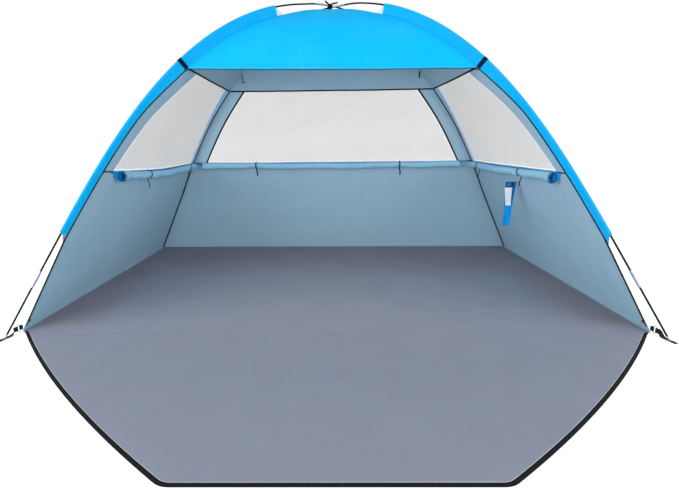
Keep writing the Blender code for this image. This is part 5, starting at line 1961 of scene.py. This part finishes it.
@dataclass
class Corner(SubAssembly):
    """Ring, loop and foot strap at one floor corner."""

    name: str
    corner: Pair
    foot: Array
    loop_length: float = 0.010
    ring_height: float = 0.030
    ring_depth: float = 0.014
    wire: float = 0.0013
    webbing: float = 0.018
    thickness: float = 0.0012
    clear: float = 0.0004
    fold_back: float = 0.014
    tail: float = 0.026
    eyelet: float = 0.0042

    def __post_init__(self) -> None:
        """Works out the directions from the corner to the pole's foot."""
        self.base = np.array((*self.corner, 0.0))
        out = (self.foot - self.base) * (1, 1, 0)
        self.reach = float(np.linalg.norm(out))
        self.out = out / self.reach
        self.across = np.array((-self.out[1], self.out[0], 0.0))
        self.ring_middle = self.loop_length + self.ring_depth / 2
        self.height = self.clear + self.ring_height / 2 + self.wire
        self.bend = self.wire + SIZES.gap + self.thickness / 2
        self.half = self.ring_depth / 2 - self.wire

    def bar(self, side: int) -> Array:
        """Middle of the ring's near bar for -1, of its far bar for 1."""
        return self.base + self.out * (self.ring_middle + side * self.half) + UP * self.height

    def build(self) -> None:
        """Builds the ring, the loop and the strap with its eyelet."""
        rise, turns = self.ring_height / 2 - self.half, np.linspace(0, 2 * math.pi, 44, endpoint=False)
        up = np.where(np.sin(turns) >= 0, rise, -rise) + self.half * np.sin(turns)
        line = self.bar(0) + UP * up[:, None] + self.out * self.half * np.cos(turns)[:, None]
        self.wire_loop("steel_ring", line, self.across, round_profile(self.wire, 12), 60.0, "ring")
        reach = self.loop_length + self.wire - SIZES.gap - 0.0008
        line = self.fold(self.bar(-1), -self.out, reach, reach)
        side = np.cross(unit(np.gradient(line, axis=0)), UP)
        shape = flat_profile(self.webbing, self.thickness)
        loop = (f"{self.name}_webbing_loop", line, side, shape, "webbing", "black_webbing")
        self.sweep(*loop, f"{self.name}_corner_loop")
        self.build_strap(shape)

    def wire_loop(self, part: str, line: Array, up: Array, shape: Array, sharp: float, *nodes: str) -> None:
        """Builds a steel piece along a closed flat line.

        Args:
            part: What the piece is called.
            line: Points of the line.
            up: Direction square to the line's plane.
            shape: Cross-section points, outwards and up.
            sharp: Angle in degrees above which an edge stays sharp.
            *nodes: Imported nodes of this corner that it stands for.
        """
        away = unit(line - line.mean(axis=0))
        rings = line[:, None] + away[:, None] * shape[:, :1] + up * shape[:, 1:]
        steel = self.finishes.pick("bright_steel")
        item = loft(f"{self.name}_{part}", rings, steel, joined=True, sharp=sharp)
        ride(item, "tent", "bright_steel", *(f"{self.name}_{node}" for node in nodes))

    def fold(self, bar: Array, out: Array, reach: float, back: float) -> Array:
        """Plan line of webbing that comes along out, folds round a bar and runs back.

        Args:
            bar: Middle of the bar.
            out: Direction from the bar to the webbing's ends.
            reach: How far the first end is from the bar.
            back: How far the second end is from it.

        Returns:
            Points of the line.
        """
        line = [bar + out * reach * share + self.across * self.bend for share in (1.0, 0.5)]
        for turn in np.linspace(math.pi / 2, 3 * math.pi / 2, 13):
            line.append(bar + (out * math.cos(turn) + self.across * math.sin(turn)) * self.bend)
        line += [bar + out * back * share - self.across * self.bend for share in (0.5, 1.0)]
        return np.array(line)

    def build_strap(self, shape: Array) -> None:
        """Builds the strap from the ring's far bar to the foot, where the pole's pin stands in its eyelet.

        Args:
            shape: Cross-section of the webbing.
        """
        far = self.ring_middle + self.half
        to_foot, flat = self.reach - far, self.clear + self.thickness / 2
        ahead = (self.tail, self.tail * 0.7, self.eyelet * 2, 0.0, -self.eyelet * 2)
        steps = [(to_foot + step, 0.0) for step in ahead]
        steps += [(blend(steps[-1][0], self.fold_back / 2, t), float(t)) for t in np.linspace(0.06, 1, 16)]
        rings = []
        for ahead, share in steps:
            turn = math.pi / 2 * float(ease(np.array(share**2.4)))
            wide = self.across * math.cos(turn) + UP * math.sin(turn)
            thick = UP * math.cos(turn) - self.across * math.sin(turn)
            height = flat + (self.height - flat) * math.sin(turn)
            centre = self.base + self.out * (far + ahead) + self.across * (self.bend * share) + UP * height
            rings.append(centre + wide * shape[:, :1] + thick * shape[:, 1:])
        line = self.fold(self.bar(1), self.out, self.fold_back / 2, self.fold_back)[1:]
        for point, way in zip(line, unit(np.gradient(line, axis=0))):
            rings.append(point + UP * shape[:, :1] + np.cross(way, UP) * shape[:, 1:])
        around, cloth = np.append(shape[:, 0], shape[0, 0]), self.finishes.pick("webbing")
        item = loft(f"{self.name}_strap", np.array(rings), cloth, around, sharp=50.0)
        ride(item, "tent", "black_webbing", f"{self.name}_foot_strap")
        centre = self.foot * (1, 1, 0) + UP * (flat + self.thickness / 2 + 0.0002)
        circle = round_profile(self.eyelet + 0.0012, 24)
        line = centre + np.concatenate([circle, 0 * circle[:, :1]], axis=1)
        self.wire_loop("eyelet", line, UP, flat_profile(0.0030, 0.0007, 0.0003), 50.0)


@dataclass
class CrossingTie(SubAssembly):
    """Cord wound round both poles where they cross, ending in a bow."""

    radius: float = 0.0022
    pitch: float = 0.0047
    turns: int = 4
    slack: float = 0.0007
    squareness: float = 0.75
    bow_length: float = 0.026
    bow_width: float = 0.014
    bow_rises: Pair = (0.015, 0.007)
    short_bow: float = 0.6

    def build(self, path: PoleArc) -> None:
        """Builds the cord.

        Args:
            path: The upper pole's line.
        """
        centre = path.point(np.array(path.crossing)) - UP * path.lift
        slope = abs(path.level[1] / path.level[0])
        clear = SIZES.gap + self.radius + self.slack
        high = path.lift + SIZES.pole_radius + clear
        wide = SIZES.pole_radius / abs(path.level[0]) + self.pitch * self.turns / 2 * slope + clear
        turn = np.linspace(0, 2 * math.pi * self.turns, 24 * self.turns + 1)
        waves = (np.sin(turn), np.cos(turn))
        across, rise = (np.copysign(np.abs(wave) ** self.squareness, wave) for wave in waves)
        run = self.pitch * (turn / (2 * math.pi) - self.turns / 2)
        coil = centre + np.stack([run, wide * across, high * rise], -1)
        line = np.concatenate([self.bow(centre, -1, high)[::-1], coil, self.bow(centre, 1, high)])
        shape = round_profile(self.radius, 10)
        self.sweep("crossing_cord", line, UP, shape, "tie_cord", "black_webbing", "crossing_tie", sharp=70.0)

    def bow(self, centre: Array, side: int, high: float) -> Array:
        """One loop of the bow.

        Args:
            centre: Middle of the crossing.
            side: -1 for the left loop, which is the shorter one, 1 for the right one.
            high: Height above the middle that it starts from.

        Returns:
            Points of the loop.
        """
        share = np.linspace(0, 1, 24)[1:-1]
        turn = 2 * math.pi * share
        out = side * (self.pitch * self.turns / 2 + self.bow_length * (1 - np.cos(turn)) / 2)
        swing = side * self.bow_width / 2 * np.sin(turn)
        rise = self.bow_rises[(side + 1) // 2] * (1 - np.cos(turn)) / 2 * (1.0 - 0.3 * share)
        return centre + np.stack([out * (self.short_bow if side < 0 else 1.0), swing, high + rise], -1)


@dataclass
class HangingStrip(SubAssembly):
    """Cloth strip on the right wall with its clip and its blank label."""

    width: float = 0.060
    length: float = 0.212
    thickness: float = 0.0015
    drops: tuple[float, ...] = (0.0, 0.13, 0.212)
    outer: tuple[float, ...] = (0.0, 0.014, 0.017)
    inner: tuple[float, ...] = (0.0535, 0.0515, 0.0510)
    label_outer: float = 0.0216
    label_drops: Pair = (0.028, 0.113)
    fold_end: float = 0.128
    clip_width: float = 0.036
    clip_height: float = 0.024
    clip_depth: float = 0.005
    clip_drop: float = 0.003
    clip_bar: float = 0.0045

    def __post_init__(self) -> None:
        """Finds the strip's outer top corner."""
        _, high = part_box("hanging_strip")
        self.top = np.array((high.x, high.y - self.thickness / 2, high.z))

    def front(self, across: Array, drop: Array, lift: Array) -> Array:
        """Points in front of the strip at places across it and down from its top."""
        x, y, z = self.top
        return np.stack(np.broadcast_arrays(x - across, y - self.thickness / 2 - lift, z - drop), -1)

    def patch(
        self, name: str, across: Array, drop: Array, lift: Array, thickness: float, finish: str
    ) -> Object:
        """Thin cloth or label in front of the strip.

        Args:
            name: Name of the piece.
            across: Grid of places across the strip.
            drop: Grid of places down from its top.
            lift: How far each point lies in front of its face.
            thickness: How thick the piece is.
            finish: Name of its finish.

        Returns:
            The new object.
        """
        drop = np.broadcast_to(drop, across.shape)
        points, uv = self.front(across, drop, lift), np.stack([across, drop], -1)
        return shell(name, points, AHEAD, thickness, uv, self.finishes.pick(finish), sharp=60.0)

    def build(self) -> None:
        """Builds the strip, its fold, the label and the clip."""
        drops = np.concatenate([np.linspace(0, 0.06, 12, endpoint=False), np.linspace(0.06, self.length, 40)])
        outer, inner = (np.interp(drops, self.drops, edge)[:, None] for edge in (self.outer, self.inner))
        across, drop = outer + (inner - outer) * np.linspace(0, 1, 15), drops[:, None]
        fold = 0.0012 * np.sin(across / self.width * 5.5 + drop * 28) * ease(drop / 0.05)
        x, y, z = self.top
        points = np.stack(np.broadcast_arrays(x - across, y + fold, z - drop), -1)
        uv = np.stack(np.broadcast_arrays(across - self.width / 2, drop), -1)
        cloth = self.finishes.pick("strip_cloth")
        strip = shell("wall_strip", points, AHEAD, self.thickness * 0.8, uv, cloth, sharp=60.0)
        ride(strip, "strip", "blue_cloth", "hanging_strip")
        self.build_fold()
        self.build_label()
        self.build_clip()

    def build_fold(self) -> None:
        """Builds the turned-over part along the strip's outer edge, coloured darker as painted shade, with
        its pale piping.
        """
        drops, end = np.linspace(0.0, self.fold_end, 28), self.label_outer
        outer = np.interp(drops, self.drops, self.outer)
        far = np.interp(drops, (0.0, 0.10, self.fold_end), (end, end, 0.016))
        across = outer[:, None] + (far - outer)[:, None] * np.linspace(0, 1, 7)
        wave = 0.0006 * np.sin(drops * 70)
        item = self.patch("strip_fold", across, drops[:, None], 0.0012 + wave[:, None], 0.0008, "strip_shade")
        ride(item, "strip", "blue_cloth")
        line, shape = self.front(outer + 0.0012, drops, 0.0018 + wave), flat_profile(0.0034, 0.0008)
        self.sweep("strip_piping", line, AHEAD, shape, "strip_piping", "blue_cloth", body="strip")

    def build_label(self) -> None:
        """Builds the blank label sewn under the clip."""
        low, high = self.label_drops
        share, z = np.meshgrid(np.linspace(0, 1, 14), np.linspace(low, high, 28))
        x = blend(self.label_outer, blend(0.0555, 0.0470, (z - low) / (high - low)), share)
        bow = 0.0022 + 0.0014 * np.sin(z * 60) * np.sin(x * 90) + 0.003 * ease((z - 0.09) / 0.03)
        ride(self.patch("blank_label", x, z, bow, 0.0005, "blank_label"), "strip", "pale_net")

    def build_clip(self) -> None:
        """Builds the small moulded buckle at the strip's inner top corner."""
        bar, depth = self.clip_bar, self.clip_depth
        x1, z0 = self.top[0] - self.inner[0], self.top[2] - self.clip_drop
        x0, z1 = x1 + self.clip_width, z0 - self.clip_height
        y = self.top[1] - self.thickness / 2 - depth / 2
        bars = {
            "upper": ((x1, z0 - bar / 2), (x0, z0 - bar / 2), bar),
            "lower": ((x1, z1 + bar / 2), (x0, z1 + bar / 2), bar),
            "inner": ((x1 + bar / 2, z0), (x1 + bar / 2, z1), bar),
            "outer": ((x0 - 0.006, z0), (x0 - 0.006, z1), 0.012),
        }
        for name, (a, b, width) in bars.items():
            line = np.linspace((a[0], y, a[1]), (b[0], y, b[1]), 6)
            shape = flat_profile(width, depth, 0.0006)
            self.sweep(f"clip_{name}_bar", line, AHEAD, shape, "black_plastic", "black_webbing", body="strip")


@dataclass
class LampHolders(SubAssembly):
    """Lamp hook and lamp strap under the ceiling."""

    wire: float = 0.0021
    hook_length: float = 0.034
    hook_bend: float = 0.007
    hook_gap: float = 0.0040
    strap_width: float = 0.010
    strap_thickness: float = 0.0012

    def build(self) -> None:
        """Builds both."""
        low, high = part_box("lamp_hook")
        top = np.array((low.x + self.wire, (low.y + high.y) / 2, high.z - self.hook_gap))
        line = [top - UP * self.hook_length * share for share in np.linspace(0, 1, 8)]
        centre = line[-1] + np.array((self.hook_bend, 0.0, 0.0))
        for turn in np.linspace(math.pi, 2 * math.pi, 16)[1:]:
            line.append(centre + np.array((math.cos(turn), 0.0, math.sin(turn))) * self.hook_bend)
        shape = round_profile(self.wire, 12)
        self.sweep(
            "ceiling_hook", np.array(line), -AHEAD, shape, "hook_plastic", "black_webbing", "lamp_hook",
            body="hook", sharp=70.0,
        )
        low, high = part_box("lamp_strap")
        centre = np.array(((low.x + high.x) / 2, (low.y + high.y) / 2, 0.0))
        face = unit(np.array((-1.0, 1.0, 0.0)))
        drops = np.linspace(high.z, low.z, 18)[:, None]
        line = centre + UP * drops + face * 0.0004 * np.sin(drops * 160)
        shape = flat_profile(self.strap_width, self.strap_thickness)
        self.sweep(
            "ceiling_strap", line, face, shape, "tie_cord", "black_webbing", "lamp_strap",
            body="lamp_strap",
        )


@dataclass
class Studio:
    """Floor, lamps, world and camera."""

    eye: tuple[float, float, float] = (0.01753799, -1.65688224, 0.75760013)
    right: tuple[float, float, float] = (0.9995393, 0.02846647, -0.01052879)
    up: tuple[float, float, float] = (0.00337402, 0.2405336, 0.97063495)
    forward: tuple[float, float, float] = (-0.03016308, 0.9702233, -0.24032674)
    lens: float = 24.655
    film: float = 36.0
    shift: Pair = (0.0281, -0.00265)
    zenith: float = 0.50
    horizon: float = 0.95
    glow: float = 0.40
    left_fill: float = 182.0
    right_fill: float = 114.0
    front_fill: float = 38.0
    floor_reach: float = 9.0
    floor_drop: float = 0.0006

    def build(self) -> None:
        """Builds the floor, the world, the lamps and the camera."""
        self.build_floor()
        self.build_world()
        self.lamp("left_lamp", (-4.0, -2.5, 1.2), (0.6, 0.6, 0.4), 3.8, self.left_fill)
        self.lamp("right_lamp", (4.0, -2.5, 1.2), (-0.6, 0.6, 0.4), 3.8, self.right_fill)
        self.lamp("front_lamp", (0.0, -4.4, 0.5), (0.0, 0.6, 0.6), 1.6, self.front_fill)
        self.build_camera()
        bpy.context.scene.view_settings.view_transform = "Standard"

    def seen(self, nodes: Nodes) -> NodeSocket:
        """One for rays that see the surroundings, and zero for those that light the object.

        Args:
            nodes: Helper of the tree that it is added to.

        Returns:
            The value's socket.
        """
        path = nodes.add("ShaderNodeLightPath")
        either = path.outputs[Ray.CAMERA.value]
        for ray in (Ray.GLOSSY, Ray.TRANSMISSION):
            either = nodes.math("MAXIMUM", either, path.outputs[ray.value])
        return either

    def build_floor(self) -> None:
        """Builds the wide pale floor that keeps the object's shadow."""
        reach, drop = self.floor_reach, -self.floor_drop
        verts = [(-reach, -reach, drop), (reach, -reach, drop), (reach, reach, drop), (-reach, reach, drop)]
        material, nodes, shader = plain_material("studio_floor")
        grain = nodes.noise(nodes.add("ShaderNodeTexCoord").outputs["Object"], 40.0)
        looks = {
            "Base Color": nodes.mix(nodes.times(grain, 0.02), (0.94, 0.94, 0.94), (0.91, 0.91, 0.91)),
            "Roughness": 0.9,
            "Specular IOR Level": 0.0,
            "Emission Color": (1.0, 1.0, 1.0, 1.0),
            "Emission Strength": nodes.times(self.seen(nodes), self.glow),
        }
        for label, value in looks.items():
            nodes.set(shader.inputs[label], value)
        add_mesh("studio_floor", verts, [(0, 1, 2, 3)], [material])

    def build_world(self) -> None:
        """Builds white surroundings for the eye and plain soft light for the object."""
        world = bpy.data.worlds.new("studio")
        bpy.context.scene.world = world
        world.use_nodes = True
        nodes = Nodes(world.node_tree)
        _, _, height = nodes.parts(nodes.add("ShaderNodeTexCoord").outputs["Generated"])
        light = nodes.add("ShaderNodeMapRange")
        nodes.feed(light, Value=height, To_Min=self.horizon, To_Max=self.zenith)
        seen = self.seen(nodes)
        dim = nodes.times(light.outputs["Result"], nodes.minus(1.0, seen))
        back = world.node_tree.nodes["Background"]
        nodes.feed(back, Color=(1.0, 1.0, 1.0, 1.0), Strength=nodes.plus(seen, dim))

    def lamp(
        self, name: str, place: Sequence[float], aim: Sequence[float], size: float, power: float
    ) -> None:
        """Builds one square soft lamp.

        Args:
            name: Name of the lamp.
            place: Where it stands.
            aim: What it looks at.
            size: Width of its face.
            power: Watts.
        """
        data = bpy.data.lights.new(name, "AREA")
        data.size, data.energy = size, power
        item = link(name, data)
        item.location = place
        item.rotation_euler = (Vector(aim) - Vector(place)).to_track_quat("-Z", "Y").to_euler()

    def build_camera(self) -> None:
        """Builds the camera at the photograph's place."""
        data = bpy.data.cameras.new("eye")
        data.lens, data.sensor_width = self.lens, self.film
        data.shift_x, data.shift_y = self.shift
        item = link("eye", data)
        turn = Matrix((self.right, self.up, tuple(-v for v in self.forward))).transposed().to_4x4()
        item.matrix_world = Matrix.Translation(self.eye) @ turn
        bpy.context.scene.camera = item


def main() -> None:
    """Builds every part of the tent in order."""
    logging.basicConfig(level=logging.INFO, format="%(message)s")
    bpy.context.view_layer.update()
    finishes = Finishes()
    canopy = Canopy(finishes)
    poles = Poles(finishes)
    poles.build()
    canopy.build(poles)
    covers = {
        "left": ((-0.048, -0.022), (0.080, 0.0), (0.30, 0.90)),
        "right": ((-0.006, -0.022), (0.045, 0.0), (0.30, 0.86)),
        "back": ((0.018, 0.004), (0.060, 0.036), (0.21, 0.77)),
    }
    for name, shape in covers.items():
        RolledCover(finishes, name, canopy.gores[name], canopy.marks[name][0], *shape).build()
    GroundSheets(finishes).build()
    DoorwayZip(finishes).build(canopy)
    front, back = SIZES.sill_width / 2, SIZES.back_width / 2
    left, right = poles.paths.values()
    places = {
        "front_left": ((-front, 0.0), left, 0.0),
        "front_right": ((front, 0.0), right, 0.0),
        "back_left": ((-back, SIZES.floor_depth), right, 1.0),
        "back_right": ((back, SIZES.floor_depth), left, 1.0),
    }
    for name, (corner, path, end) in places.items():
        Corner(finishes, name, corner, path.point(np.array(path.length * end))).build()
    CrossingTie(finishes).build(left)
    HangingStrip(finishes).build()
    LampHolders(finishes).build()
    Studio().build()


if __name__ == "__main__":
    main()
